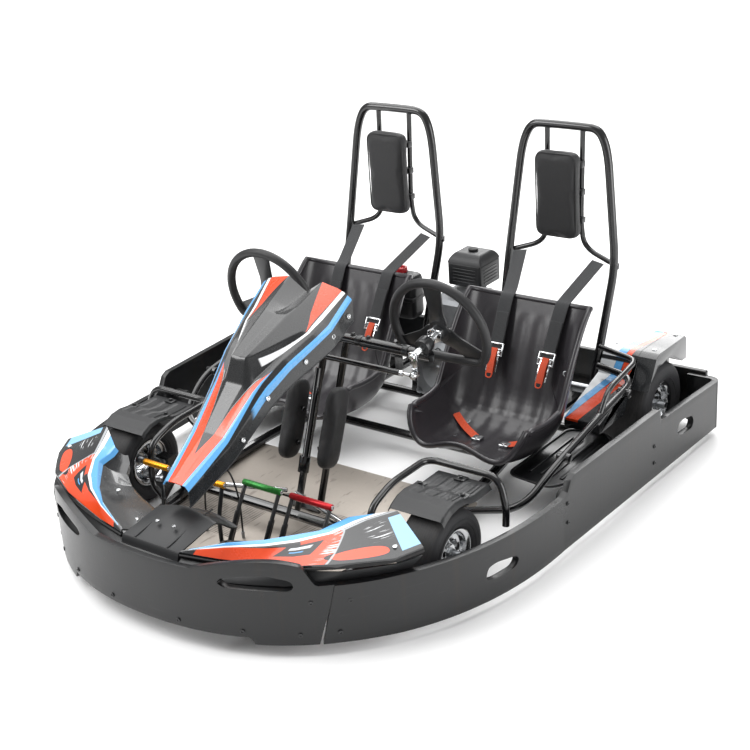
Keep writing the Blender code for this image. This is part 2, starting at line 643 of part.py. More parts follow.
def build_rear_axle():
    reach = 0.700
    axle = [(-reach, 0.0120), (-0.460, 0.0120), (-0.455, 0.0150), (0.455, 0.0150), (0.460, 0.0120), (reach, 0.0120)]
    centre = (0.0, REAR_AXLE_Y, REAR_TYRE["radius"])
    sides = 16
    bm = bmesh.new()
    rings = []
    for along, radius in axle:
        rings.append([bm.verts.new((along, REAR_AXLE_Y + radius * math.cos(2 * math.pi * k / sides),
                                    centre[2] + radius * math.sin(2 * math.pi * k / sides))) for k in range(sides)])
    for here, after in zip(rings, rings[1:]):
        for k in range(sides):
            j = (k + 1) % sides
            bm.faces.new((here[k], here[j], after[j], after[k]))
    bm.faces.new(rings[0])
    bm.faces.new(rings[-1])
    put("rear_axle", mesh_of(bm, "axle"), steel(), centre)


# ---------------------------------------------------------------- steering
def column_frame(side):
    """Pivot, axis towards the driver and the upright direction of one steering column."""
    tilt = COLUMN["tilt"]
    pivot = Vector((side * COLUMN["x"], COLUMN["y"], COLUMN["z"]))
    axis = Vector((0, math.cos(tilt), math.sin(tilt)))
    upright = Vector((0, -math.sin(tilt), math.cos(tilt)))
    return pivot, axis, upright


def wheel_route(pivot, axis, upright):
    """The rim line of a steering wheel: round, with a flattened bottom."""
    radius, flat = 0.156, -0.084
    start = math.asin(flat / radius)
    route = []
    steps = 20
    for k in range(steps + 1):
        angle = start + (math.pi - 2 * start) * k / steps
        route.append((radius * math.cos(angle), radius * math.sin(angle)))
    for k in range(1, 4):
        route.append((route[steps][0] * (1 - 2 * k / 4), flat - 0.006 * math.sin(math.pi * k / 4)))
    return [pivot + Vector((1, 0, 0)) * u + upright * v + axis * 0.0 for u, v in route]


def ring_pipe(route, radius, sides=8, name="ring"):
    """A closed round bar through a ring of points that lie in one plane."""
    bm = bmesh.new()
    middle = sum(route, Vector()) / len(route)
    normal = (route[0] - middle).cross(route[5] - middle).normalized()
    rings = []
    for k, point in enumerate(route):
        run = (route[(k + 1) % len(route)] - route[k - 1]).normalized()
        out = run.cross(normal)
        rings.append([bm.verts.new(point + (out * math.cos(2 * math.pi * i / sides)
                                            + normal * math.sin(2 * math.pi * i / sides)) * radius)
                      for i in range(sides)])
    for k in range(len(rings)):
        here, after = rings[k], rings[(k + 1) % len(rings)]
        for i in range(sides):
            j = (i + 1) % sides
            bm.faces.new((here[i], here[j], after[j], after[i]))
    return mesh_of(bm, name)


def build_steering():
    for word, side in SIDES:
        pivot, axis, upright = column_frame(side)
        ring = ring_pipe(wheel_route(pivot, axis, upright), 0.0145)
        wheel = put(f"steering_wheel_{word}", ring, moulded_black(), pivot)
        spokes = []
        for turn in (90, 210, 330):
            angle = math.radians(turn)
            way = Vector((math.cos(angle), 0, 0)) + upright * math.sin(angle)
            across = axis.cross(way).normalized() * 0.019
            reach = 0.152 if turn == 90 else 0.148
            outline = [pivot - across - axis * 0.003, pivot + across - axis * 0.003,
                       pivot + across + axis * 0.003, pivot - across + axis * 0.003]
            spokes.append(loft([outline, [point + way * reach for point in outline]], "spoke"))
        spokes.append(rod(pivot - axis * 0.004, pivot + axis * 0.004, 0.034, 16))
        combine(wheel, spokes)
        shaft_top = pivot - axis * 0.0045
        shaft_end = pivot - axis * 0.150
        column = put(f"steering_column_{word}", rod(shaft_end, shaft_top, 0.0100), chrome(), pivot)
        boss = rod(pivot - axis * 0.030, shaft_top - axis * 0.0001, 0.022, 14)
        arm_root = pivot - axis * 0.140
        arm_end = arm_root - upright * CRANK
        arm = loft([[arm_root + Vector((dx, 0, 0)) + upright * 0.012 + axis * da for dx, da in
                     ((-0.012, -0.004), (0.012, -0.004), (0.012, 0.004), (-0.012, 0.004))],
                    [arm_end + Vector((dx, 0, 0)) - upright * 0.012 + axis * da for dx, da in
                     ((-0.010, -0.004), (0.010, -0.004), (0.010, 0.004), (-0.010, 0.004))]], "arm")
        combine(column, [boss, arm])
    pivot, axis, upright = column_frame(1)
    level = pivot - axis * 0.156 - upright * CRANK
    start = Vector((-COLUMN["x"], level.y, level.z))
    put("steering_link", rod(start, level, 0.0110, 12), gloss_black(), tuple(level))


def build_tower():
    """The centre post that carries both steering columns on a cross tube."""
    pivot, axis, upright = column_frame(1)
    bearing = pivot - axis * 0.080
    reach = COLUMN["x"] + 0.020
    bar_z = bearing.z - 0.029
    bar = put("steering_tower", rod((-reach, bearing.y, bar_z), (reach, bearing.y, bar_z), 0.0155, 16), gloss_black())
    parts = [box((-0.055, -0.240, TRAY_Z + 0.0036), (0.055, -0.190, 0.0500))]
    for _, side in SIDES:
        parts.append(rod((side * 0.040, -0.215, 0.0490), (side * 0.036, bearing.y, bar_z), 0.0110))
    for word, side in SIDES:
        centre = Vector((side * COLUMN["x"], bearing.y, bearing.z))
        ring = [(-0.014, 0.0106), (-0.014, 0.0210), (0.014, 0.0210), (0.014, 0.0106)]
        parts.append(turned(ring, centre, axis, 16))
        pad_x = span(side * 0.0530, side * 0.0930)
        lean = [(-0.255, 0.190), (-0.168, 0.165), (-0.072, 0.400), (-0.158, 0.428)]
        pad = prism(lean, "x", pad_x[0], pad_x[1], "pad")
        put(f"knee_pad_{word}", pad, pad_skin(), smooth=False)
    combine(bar, parts)


def build_lower_steering():
    """The slanted centre shaft, its drop arm and the two track rods to the wheels."""
    low, high = Vector((0.0, -0.272, 0.056)), Vector((0.0, -0.118, 0.455))
    way = (high - low).normalized()
    ahead = Vector((0.0, -way.z, way.y))
    shaft = put("steering_shaft", rod(low, high, 0.0095, 12), chrome(), tuple(low))
    hub = low + way * 0.046
    plate = []
    for level in (-0.003, 0.003):
        outline = [(-0.013, -0.012), (0.013, -0.012), (0.028, 0.050), (-0.028, 0.050)]
        plate.append([hub + way * level + Vector((a, 0, 0)) + ahead * b for a, b in outline])
    joint = [rod(hub + way * 0.070, hub + way * 0.118, 0.0170, 12)]
    combine(shaft, [loft(plate, "drop_arm")] + joint)
    for word, side in SIDES:
        outer = Vector((side * KINGPIN_X, FRONT_AXLE_Y - 0.078, 0.1265))
        inner = hub + ahead * 0.041 + way * 0.0142 + Vector((side * 0.017, 0, 0))
        put(f"track_rod_{word}", rod(outer, inner, 0.0070, 10), chrome(), tuple(outer))


def build_pedals():
    """Brake and throttle: a coloured bar on two legs, hinged near the floor."""
    for word, low_x, high_x, colour in (("throttle", -0.024, 0.112, (0.03, 0.22, 0.05)),
                                        ("brake", 0.146, 0.290, (0.55, 0.02, 0.03))):
        foot_y, foot_z = -0.560, 0.075
        top_y, top_z = -0.460, 0.232
        bar = rod((low_x, top_y, top_z), (high_x, top_y, top_z), 0.0095, 12)
        pedal = put(f"{word}_pedal", bar, material(f"{word}_bar", colour, 0.35), (low_x, foot_y, foot_z))
        legs = []
        for x in (low_x + 0.007, high_x - 0.007):
            legs.append(rod((x, top_y, top_z), (x, foot_y, foot_z), 0.0062, 8))
        legs.append(rod((low_x - 0.004, foot_y, foot_z), (high_x + 0.004, foot_y, foot_z), 0.0080, 10))
        combine(pedal, legs)
    gold = material("gold_anodised", (0.72, 0.40, 0.05), 0.3, 0.9)
    for word, low_x, high_x in (("outer", -0.352, -0.258), ("inner", -0.140, -0.042)):
        bar = rod((low_x, -0.520, 0.242), (high_x, -0.520, 0.242), 0.0095, 12)
        rest = put(f"foot_bar_{word}", bar, gold)
        leg_x = high_x - 0.010
        leg = [(leg_x, -0.520, 0.242), (leg_x, -0.548, 0.150), (leg_x, -0.548, TRAY_Z + 0.0036)]
        combine(rest, [pipe(rounded(leg, 0.03, 2), 0.0062, 2)])


# ---------------------------------------------------------------- engine and tank
def build_engine():
    crankcase = soft_box((-0.105, 0.500, 0.100), (0.105, 0.698, 0.300), 0.018, steps=1)
    engine = put("engine_block", crankcase, material("engine_casting", (0.30, 0.30, 0.31), 0.45, 0.8))
    head = soft_box((-0.070, 0.560, 0.260), (0.080, 0.745, 0.430), 0.012, steps=1)
    neck = rod((0.025, 0.715, 0.400), (0.025, 0.715, 0.4440), 0.0280, 14)
    combine(engine, [head, neck])
    sections = []
    for z, shrink in ((0.4445, 0.0), (0.530, 0.0), (0.548, 0.010), (0.556, 0.032)):
        low_x, high_x = -0.062 + shrink, 0.066 - shrink
        low_y, high_y = 0.668 + shrink, 0.790 - shrink
        sections.append([(low_x, low_y, z), (high_x, low_y, z), (high_x, high_y, z), (low_x, high_y, z)])
    put("engine_airbox", loft(sections, "airbox"), moulded_black())
    tank = soft_box((-0.340, 0.628, 0.300), (-0.185, 0.712, 0.460), 0.022, steps=2)
    put("fuel_tank", tank, moulded_black())
    put("fuel_cap", rod((-0.252, 0.668, 0.4606), (-0.252, 0.668, 0.485), 0.022, 14),
        material("cap_red", (0.50, 0.02, 0.03), 0.35))


# ---------------------------------------------------------------- cables
def build_cable():
    """The thin control cable that loops up between the foot bars and the throttle."""
    corners = [(-0.172, -0.480, 0.048), (-0.168, -0.475, 0.190), (-0.130, -0.470, 0.270), (-0.070, -0.465, 0.262),
               (-0.048, -0.460, 0.170), (-0.050, -0.460, 0.048)]
    put("throttle_cable", pipe(rounded(corners, 0.08, 6), 0.0028, 2), rubber())


def build():
    for item in list(bpy.data.objects):
        bpy.data.objects.remove(item, do_unlink=True)
    build_frame()
    build_floor()
    build_side_bars()
    build_bumper_front()
    build_bumper_sides()
    build_bumper_rear()
    build_nose()
    build_fairing()
    build_mudguards()
    build_rear_pods()
    build_seats()
    build_hoops()
    build_belts()
    build_wheels()
    build_knuckles()
    build_rear_axle()
    build_steering()
    build_tower()
    build_lower_steering()
    build_pedals()
    build_engine()
    build_cable()


build()
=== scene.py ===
from math import asin, copysign, cos, pi, radians, sin

import bpy
import numpy as np
from mathutils import Matrix, Vector


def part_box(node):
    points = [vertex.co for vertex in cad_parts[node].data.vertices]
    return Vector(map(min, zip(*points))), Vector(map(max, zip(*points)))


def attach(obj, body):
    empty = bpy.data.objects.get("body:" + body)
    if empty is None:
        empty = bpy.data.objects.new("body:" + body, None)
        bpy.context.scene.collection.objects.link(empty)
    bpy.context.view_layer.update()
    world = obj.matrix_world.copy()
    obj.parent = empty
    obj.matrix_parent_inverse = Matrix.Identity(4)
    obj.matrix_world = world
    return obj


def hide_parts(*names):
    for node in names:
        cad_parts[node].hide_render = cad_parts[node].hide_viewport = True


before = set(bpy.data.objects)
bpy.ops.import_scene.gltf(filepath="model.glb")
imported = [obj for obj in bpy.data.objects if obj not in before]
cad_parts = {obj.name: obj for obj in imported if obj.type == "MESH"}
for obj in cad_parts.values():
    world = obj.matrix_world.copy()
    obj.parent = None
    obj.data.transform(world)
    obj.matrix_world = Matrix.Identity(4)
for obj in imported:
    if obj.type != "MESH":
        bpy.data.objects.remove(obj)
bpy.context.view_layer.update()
sides = (("left", 1), ("right", -1))
xRight, zUp = Vector((1, 0, 0)), Vector((0, 0, 1))
print("frame loaded:", len(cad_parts), "nodes")


# shader maths and materials
class Value:
    # one output of a node, ready to be used in sums
    def __init__(self, paint, socket):
        self.paint = paint
        self.socket = socket

    def maths(self, operation, other=0.0, flip=False):
        first, second = (other, self) if flip else (self, other)
        return self.paint.node("ShaderNodeMath", {"operation": operation}, {0: first, 1: second})

    def rise(self, low, high):
        # smooth step from 0 at low to 1 at high
        settings = {"interpolation_type": "SMOOTHSTEP"}
        return self.paint.node("ShaderNodeMapRange", settings, {0: self, 1: low, 2: high, 3: 0.0, 4: 1.0})

    def band(self, low, high, soft=0.001):
        # 1 between low and high, 0 outside
        return self.rise(low - soft, low + soft) * (1 - self.rise(high - soft, high + soft))


def mathsMethod(operation, flip=False):
    return lambda self, *other: self.maths(operation, *other, flip=flip)


for word, operation in (("add", "ADD"), ("sub", "SUBTRACT"), ("mul", "MULTIPLY")):
    setattr(Value, f"__{word}__", mathsMethod(operation))
    setattr(Value, f"__r{word}__", mathsMethod(operation, True))
for word, operation in (("__truediv__", "DIVIDE"), ("__abs__", "ABSOLUTE"), ("wave", "SINE"),
                        ("power", "POWER")):
    setattr(Value, word, mathsMethod(operation))


def colourOf(word):
    # linear colour from six hex digits
    parts = [int(word[k:k + 2], 16) / 255 for k in (0, 2, 4)]
    return tuple(p / 12.92 if p < 0.04045 else ((p + 0.055) / 1.055) ** 2.4 for p in parts) + (1.0,)


class Paint:
    # one Principled material with its own helpers
    def __init__(self, name, colour="808080", roughness=0.5, **constants):
        self.material = bpy.data.materials.new(name)
        self.material.use_nodes = True
        self.nodes = self.material.node_tree.nodes
        self.links = self.material.node_tree.links
        self.shader = self.nodes["Principled BSDF"]
        self.base = colourOf(colour)
        self.shader.inputs["Base Color"].default_value = self.base
        self.shader.inputs["Roughness"].default_value = roughness
        for word, value in constants.items():
            self.shader.inputs[word.replace("_", " ")].default_value = value

    def node(self, kind, settings=None, values=None, out=0):
        made = self.nodes.new(kind)
        for word, value in (settings or {}).items():
            setattr(made, word, value)
        for key, value in (values or {}).items():
            if isinstance(value, Value):
                self.links.new(value.socket, made.inputs[key])
            else:
                made.inputs[key].default_value = value
        return Value(self, made.outputs[out])

    def place(self, kind="Object", centre=(0, 0, 0), turn=(0, 0, 0), scale=(1, 1, 1)):
        where = self.node("ShaderNodeTexCoord", out=kind)
        shifted = {0: where, 1: tuple(-c for c in centre)}
        where = self.node("ShaderNodeMapping", {"vector_type": "POINT"}, shifted)
        return self.node("ShaderNodeMapping", {}, {0: where, 2: turn, 3: scale})

    def split(self, vector):
        made = self.node("ShaderNodeSeparateXYZ", {}, {0: vector})
        outputs = made.socket.node.outputs
        return Value(self, outputs[0]), Value(self, outputs[1]), Value(self, outputs[2])

    def noise(self, scale, vector=None, detail=3.0, roughness=0.55):
        vector = vector or self.place()
        return self.node("ShaderNodeTexNoise", {}, {"Vector": vector, "Scale": scale, "Detail": detail,
                                                    "Roughness": roughness})

    def cells(self, scale, vector=None, feature="F1"):
        vector = vector or self.place()
        return self.node("ShaderNodeTexVoronoi", {"feature": feature}, {"Vector": vector, "Scale": scale})

    def mix(self, factor, first, second, blend="MIX"):
        first = colourOf(first) if isinstance(first, str) else first
        second = colourOf(second) if isinstance(second, str) else second
        settings = {"data_type": "RGBA", "blend_type": blend}
        return self.node("ShaderNodeMix", settings, {0: factor, 6: first, 7: second}, out=2)

    def put(self, word, value):
        self.links.new(value.socket, self.shader.inputs[word])
        return self

    def sealed(self, tone, height, strength):
        # colour and relief go on last; heights are in metres
        self.put("Base Color", tone)
        made = self.node("ShaderNodeBump", {}, {"Height": height, "Distance": 1.0, "Strength": strength})
        return self.put("Normal", made).material


def wornFinish(paint, lighter, darker, roughness, spread=0.08, grainScale=900, grain=0.00012):
    # broad tone changes, uneven gloss and a fine grain; returns the tone and the height for more layers
    broad = paint.noise(7.0, paint.place(scale=(1, 1, 1)), 4.0)
    fine = paint.noise(90.0, detail=2.0)
    tone = paint.mix(broad * 0.7 + fine * 0.3, darker, lighter)
    paint.put("Roughness", (broad - 0.5) * spread + (fine - 0.5) * (spread * 0.6) + roughness)
    height = paint.noise(grainScale, detail=1.0) * grain + fine * (grain * 0.5)
    return tone, height


def mouldedPaint(name, lighter, darker, roughness, coat=0.0, grain=0.00012, grainScale=900, spread=0.1):
    paint = Paint(name, roughness=roughness, Coat_Weight=coat, Coat_Roughness=0.12)
    tone, height = wornFinish(paint, lighter, darker, roughness, spread, grainScale, grain)
    return paint.sealed(tone, height, 0.9)


def bumperPaint():
    # charcoal sheet plastic: fine upright drag marks, faint warm cast and dull scuffs
    paint = Paint("bumper plastic", roughness=0.36, Specular_IOR_Level=0.5)
    tone, height = wornFinish(paint, "111214", "08090A", 0.3, 0.1, 700, 0.0001)
    upright = paint.noise(1.0, paint.place(scale=(160, 160, 4)), 2.0)
    warm = paint.noise(1.0, paint.place(scale=(34, 34, 1.2)), 1.0).rise(0.55, 0.78)
    tone = paint.mix(warm * 0.6, tone, "1B140E")
    scuffs = paint.noise(1.0, paint.place(scale=(9, 9, 120)), 5.0).rise(0.62, 0.75) * 0.35
    tone = paint.mix(scuffs, tone, "2C2D2F")
    return paint.sealed(tone, height + upright * 0.00012, 0.8)


def metalPaint(name, lighter, darker, roughness, brushed=(1, 1, 1), spread=0.1, metallic=1.0):
    paint = Paint(name, roughness=roughness, Metallic=metallic)
    tone, height = wornFinish(paint, lighter, darker, roughness, spread, 1200, 0.00003)
    lines = paint.noise(60.0, paint.place(scale=brushed), 3.0)
    tone = paint.mix((lines - 0.3) * 0.5, tone, darker)
    return paint.sealed(tone, height + lines * 0.00004, 0.6)


def blackGlossPaint():
    # powder-coated tube: slight orange peel under a gloss coat
    paint = Paint("gloss black tube", "0B0B0C", 0.24, Coat_Weight=0.55, Coat_Roughness=0.06)
    tone, height = wornFinish(paint, "121214", "070708", 0.24, 0.07, 380, 0.00009)
    dust = paint.noise(26.0, detail=5.0).rise(0.6, 0.8) * 0.2
    return paint.sealed(paint.mix(dust, tone, "5C5A57"), height, 0.6)


def webbingPaint(name, lighter, darker):
    # woven belt: ribs across the width and a fine twill, both on the belt's own map
    paint = Paint(name, roughness=0.72, Sheen_Weight=0.25)
    across, along, _ = paint.split(paint.place("UV"))
    ribs = (across * (2 * pi * 11)).wave()
    twill = (along * 900 + across * 60).wave()
    fine = paint.noise(240.0, detail=3.0)
    tone = paint.mix(ribs * 0.25 + twill * 0.15 + fine * 0.5, darker, lighter)
    paint.put("Roughness", fine * 0.2 + 0.62)
    return paint.sealed(tone, ribs * 0.00025 + twill * 0.00018 + fine * 0.0001, 0.9)


def tyrePaint(centre, radius):
    # tread with fine lines and scrub, side wall with raised rings
    paint = Paint("tyre rubber", roughness=0.7)
    x, y, z = paint.split(paint.place(centre=centre))
    out = (y * y + z * z).power(0.5) / radius
    tone, height = wornFinish(paint, "27272A", "161618", 0.66, 0.16, 500, 0.00022)
    tread = out.rise(0.955, 0.975)
    scrub = paint.noise(1.0, paint.place(scale=(220, 40, 40)), 4.0)
    tone = paint.mix(tread * scrub * 0.7, tone, "3C3A38")
    rings = ((out * 150.0).wave() * 0.5 + 0.5) * out.band(0.6, 0.9, 0.02)
    lines = ((x * 900.0).wave() * 0.5 + 0.5) * tread
    return paint.sealed(tone, height + rings * 0.0005 + lines * 0.00035 + scrub * tread * 0.0004, 0.9)


def trayPaint():
    # warm bare aluminium: rolled lines, tread zones of slanted bars, scuffs from shoes
    paint = Paint("tray aluminium", roughness=0.42, Metallic=0.62)
    x, y, z = paint.split(paint.place())
    tone, height = wornFinish(paint, "C2BAB1", "9C948B", 0.42, 0.16, 800, 0.00005)
    rolled = paint.noise(1.0, paint.place(scale=(8, 260, 8)), 3.0)
    tone = paint.mix(rolled * 0.35, tone, "A49A90")
    left = x.band(0.06, 0.35, 0.002) * y.band(-0.43, -0.215, 0.002)
    right = x.band(-0.36, -0.09, 0.002) * y.band(-0.48, -0.3, 0.002)
    bars = ((y * 860.0 + x * 90.0).wave()).rise(0.0, 0.35)
    hatch = bars * (left + right)
    wear = paint.noise(30.0, detail=6.0).rise(0.42, 0.62)
    tone = paint.mix(hatch * (0.45 + wear * 0.5), tone, "2B2724")
    scuffs = paint.noise(1.0, paint.place(scale=(60, 14, 30), turn=(0, 0, 0.6)), 5.0).rise(0.6, 0.7)
    tone = paint.mix(scuffs * 0.5, tone, "6C655E")
    return paint.sealed(tone, height + hatch * 0.0006 + rolled * 0.00003, 0.7)


def seatPaint():
    # laid-up shell: dark satin plastic with fine fibres, shinier where bodies have polished it
    paint = Paint("seat shell", roughness=0.34, Coat_Weight=0.25, Coat_Roughness=0.2)
    tone, height = wornFinish(paint, "38353A", "1E1D1F", 0.33, 0.1, 620, 0.00014)
    streak = paint.noise(1.0, paint.place(scale=(90, 6, 6)), 4.0)
    tone = paint.mix(streak * 0.4, tone, "2C2A2C")
    return paint.sealed(tone, height + streak * 0.0001, 0.8)


def vinylPaint():
    # soft black skin with a leathery cell grain
    paint = Paint("pad vinyl", roughness=0.52, Sheen_Weight=0.12)
    tone, height = wornFinish(paint, "2A2A2C", "18181A", 0.52, 0.12, 900, 0.00008)
    grain = paint.cells(420.0, feature="DISTANCE_TO_EDGE").rise(0.0, 0.18)
    return paint.sealed(paint.mix(grain * 0.4, "101012", tone), height + grain * 0.00022, 0.8)


kartOrange, kartBlue, kartWhite = "E2481B", "5FA8E2", "DDE0E2"


def fairingPaint():
    # painted cover, on its own map: across from one wall foot to the other, along from rear to tip
    paint = Paint("fairing graphics", roughness=0.26, Coat_Weight=0.5, Coat_Roughness=0.08)
    across, along, _ = paint.split(paint.place("UV"))
    out = abs(across * 2 - 1)
    tone, height = wornFinish(paint, "1C1D1F", "111213", 0.27, 0.08, 640, 0.00008)
    outer = out.rise(0.905, 0.912)
    tone = paint.mix(outer, tone, "1F2123")
    ear = (out - along * 1.15).rise(0.165, 0.175) * (1 - (out + along * 0.62).rise(0.6, 0.608))
    ear = ear * along.rise(0.24, 0.235)
    tone = paint.mix(ear, tone, kartOrange)
    whiteLine = (out + along * 0.5).band(0.612, 0.69, 0.003) * along.rise(0.47, 0.46)
    tone = paint.mix(whiteLine, tone, "F2F4F5")
    slip = abs(along - 0.28) * 0.34
    swoosh = (out - along * 0.1).band(0.74, 0.84, 0.003) * (1 - slip * 6).rise(0.3, 0.36)
    tone = paint.mix(swoosh, tone, kartBlue)
    blade = along.rise(0.44, 0.46)
    blueInner = 0.655 - (along - 0.5) * 0.28
    blueOuter = 0.69 + (along - 0.5) * 0.3
    inside = out - (0.6 - (along - 0.5) * 1.66)
    orangeBlade = inside.rise(0.0, 0.006) * (blueInner - out).rise(0.0, 0.004) * blade
    tone = paint.mix(orangeBlade, tone, kartOrange)
    blueBlade = (out - blueInner).rise(0.0, 0.004) * (blueOuter - out).rise(0.0, 0.004) * blade
    tone = paint.mix(blueBlade, tone, kartBlue)
    pinLine = (inside + 0.028).rise(0.0, 0.004) * (-0.01 - inside).rise(0.0, 0.004)
    pinLine = pinLine * along.band(0.5, 0.72, 0.01)
    tone = paint.mix(pinLine * 0.8, tone, "C9CDD0")
    return paint.sealed(tone, height, 0.5)


def podPaint():
    # painted nose pod, on its own map: across from the inner edge to the lip, along from the centre outwards
    paint = Paint("pod graphics", roughness=0.24, Coat_Weight=0.6, Coat_Roughness=0.06)
    across, along, _ = paint.split(paint.place("UV"))
    tone, height = wornFinish(paint, "26282A", "17181A", 0.26, 0.08, 600, 0.00007)
    start = 0.455 - along * 0.115
    blue = (across - start).rise(0.0, 0.004) * (0.484 - across).rise(0.0, 0.003) * along.rise(0.03, 0.04)
    tone = paint.mix(blue, tone, kartBlue)
    white = across.band(0.484, 0.505, 0.002) * along.rise(0.06, 0.1)
    tone = paint.mix(white, tone, "F4F6F7")
    face = across.rise(0.505, 0.508) * (1 - across.rise(0.93, 0.933))
    slant = along + across * 0.22
    orange = face * (1 - slant.rise(0.82, 0.824)) * along.rise(0.06, 0.065)
    tone = paint.mix(orange, tone, kartOrange)
    notch = (across - 0.505 - (along - 0.22) * 0.3).rise(0.004, 0.0) * along.band(0.22, 0.52, 0.004) * face
    tone = paint.mix(notch, tone, "17181A")
    panel = across.band(0.56, 0.76, 0.004) * slant.band(0.57, 0.735, 0.003)
    tone = paint.mix(panel, tone, "17181A")
    tone = paint.mix(across.band(0.6, 0.645, 0.003) * slant.band(0.6, 0.705, 0.003), tone, "D8DCDF")
    tone = paint.mix(across.band(0.68, 0.7, 0.003) * slant.band(0.62, 0.69, 0.003), tone, kartBlue)
    streak = paint.noise(1.0, paint.place("UV", scale=(70, 7, 1), turn=(0, 0, 0.5)), 4.0).rise(0.52, 0.58)
    tone = paint.mix(streak * slant.band(0.775, 0.83, 0.012) * face, tone, "EEF1F3")
    far = ((along - 0.74) * (along - 0.74)) * 16.0 + (across - 0.84) * (across - 0.84) * 46.0
    tone = paint.mix(far.rise(0.26, 0.25) * face, tone, "0E0E10")
    tone = paint.mix(far.rise(0.17, 0.165) * face, tone, kartOrange)
    weave = ((along * 420.0).wave() * (across * 260.0).wave()).rise(-0.1, 0.1)
    carbon = slant.rise(0.828, 0.832) * face * far.rise(0.25, 0.26)
    tone = paint.mix(carbon, tone, paint.mix(weave, "0F1011", "222427"))
    edgeLine = slant.band(0.824, 0.834, 0.002) + across.band(0.508, 0.52, 0.002) * carbon
    tone = paint.mix(edgeLine * face * 0.8, tone, "B9BDC0")
    brush = paint.noise(1.0, paint.place("UV", scale=(60, 6, 1)), 4.0).rise(0.56, 0.62)
    tone = paint.mix(brush * across.band(0.58, 0.74, 0.03) * along.band(0.8, 0.9, 0.02), tone, "E9ECEE")
    endQuad = (along + across * 0.1).rise(0.985, 0.988) * across.band(0.56, 0.9, 0.004)
    tone = paint.mix(endQuad, tone, "8FC3EA")
    return paint.sealed(tone, height, 0.5)


def rearPodPaint():
    # white top with an orange and a blue stripe, black lower lip
    paint = Paint("rear pod graphics", roughness=0.24, Coat_Weight=0.6, Coat_Roughness=0.06)
    x, y, z = paint.split(paint.place())
    tone, height = wornFinish(paint, "26282A", "17181A", 0.26, 0.08, 600, 0.00006)
    back = y.rise(0.64, 0.642)
    stripe = abs(x) + (0.87 - y) * 0.16
    top = z.rise(0.312, 0.314) * back
    tone = paint.mix(top * (1 - stripe.rise(0.604, 0.605)), tone, kartWhite)
    tone = paint.mix(top * stripe.band(0.604, 0.632, 0.001), tone, kartBlue)
    tone = paint.mix(top * stripe.band(0.634, 0.652, 0.001), tone, kartOrange)
    slope = (z - (y - 0.4) * 0.3).rise(0.188, 0.1895) * (1 - back)
    reach = abs(x) - 0.52 + (0.62 - y) * 0.3
    tone = paint.mix(slope * (1 - reach.rise(0.044, 0.045)), tone, kartWhite)
    tone = paint.mix(slope * reach.band(0.045, 0.07, 0.001), tone, kartBlue)
    tone = paint.mix(slope * reach.band(0.072, 0.112, 0.001), tone, kartOrange)
    return paint.sealed(tone, height, 0.5)


finishes = {
    "tube": blackGlossPaint(),
    "bumper": bumperPaint(),
    "moulded": mouldedPaint("moulded black", "222325", "131415", 0.42, 0.0, 0.0002, 560),
    "grip": mouldedPaint("wheel grip", "232325", "131314", 0.48, 0.0, 0.00026, 700),
    "satin": mouldedPaint("satin black plate", "1F2022", "131415", 0.32, 0.2, 0.00008, 800),
    # near-black finish: a real dark seam on the pod lips, and painted shade in the rim's window holes
    "dark": mouldedPaint("dark seam and hole shade", "0C0C0D", "060607", 0.6, 0.0, 0.0001, 700),
    "rubber": mouldedPaint("bush rubber", "1E1E1F", "111112", 0.62, 0.0, 0.0002, 500),
    "cable": mouldedPaint("cable jacket", "161617", "0C0C0D", 0.38, 0.1, 0.00008, 900),
    "gold": metalPaint("gold anodised bar", "E5A11C", "B8770E", 0.28, (40, 1, 1), metallic=0.75),
    "green": metalPaint("green anodised bar", "3F9A45", "23702B", 0.3, (40, 1, 1), metallic=0.55),
    "red": metalPaint("red anodised bar", "D2232E", "9B1219", 0.3, (40, 1, 1), metallic=0.5),
    "capRed": mouldedPaint("red cap plastic", "C8202A", "9E141C", 0.34, 0.2, 0.0001, 700),
    "chrome": metalPaint("polished chrome", "F2F3F4", "C9CBCD", 0.09, (1, 1, 1), 0.06),
    "steel": metalPaint("zinc steel", "B9BBBD", "85888B", 0.3, (1, 1, 30), 0.14),
    "casting": metalPaint("engine casting", "9C9EA0", "6B6D70", 0.48, (1, 1, 1), 0.14, metallic=0.8),
    "tray": trayPaint(),
    "seat": seatPaint(),
    "vinyl": vinylPaint(),
    "belt": webbingPaint("belt webbing", "3A3B3E", "1B1C1E"),
    "orangeWeb": webbingPaint("orange webbing", "FF6A2A", "D93E0C"),
    "fairing": fairingPaint(),
    "pod": podPaint(),
    "rearPod": rearPodPaint(),
}
print("materials ready:", len(finishes))


# modelling helpers
def deselectAll():
    if bpy.context.mode != "OBJECT":
        bpy.ops.object.mode_set(mode="OBJECT")
    bpy.ops.object.select_all(action="DESELECT")


def pick(piece):
    deselectAll()
    piece.select_set(True)
    bpy.context.view_layer.objects.active = piece


def opened(piece):
    # edit mode with everything selected
    pick(piece)
    bpy.ops.object.mode_set(mode="EDIT")
    bpy.ops.mesh.select_all(action="SELECT")


def leaveEdit():
    bpy.ops.object.mode_set(mode="OBJECT")


def modified(piece, kind, **settings):
    # add a modifier, set it and apply it
    pick(piece)
    modifier = piece.modifiers.new(kind.lower(), kind)
    for word, value in settings.items():
        setattr(modifier, word, value)
    bpy.ops.object.modifier_apply(modifier=modifier.name)
    return piece


def softened(piece, width, segments=3, angle=30):
    return modified(piece, "BEVEL", width=width, segments=segments, limit_method="ANGLE",
                    angle_limit=radians(angle))


def cleaned(piece, closed=True):
    opened(piece)
    bpy.ops.mesh.remove_doubles(threshold=0.00002)
    if closed:
        bpy.ops.mesh.normals_make_consistent(inside=False)
    leaveEdit()
    return piece


def settled(piece):
    # place, turn and scale go into the mesh
    pick(piece)
    bpy.ops.object.transform_apply(location=True, rotation=True, scale=True)
    return piece


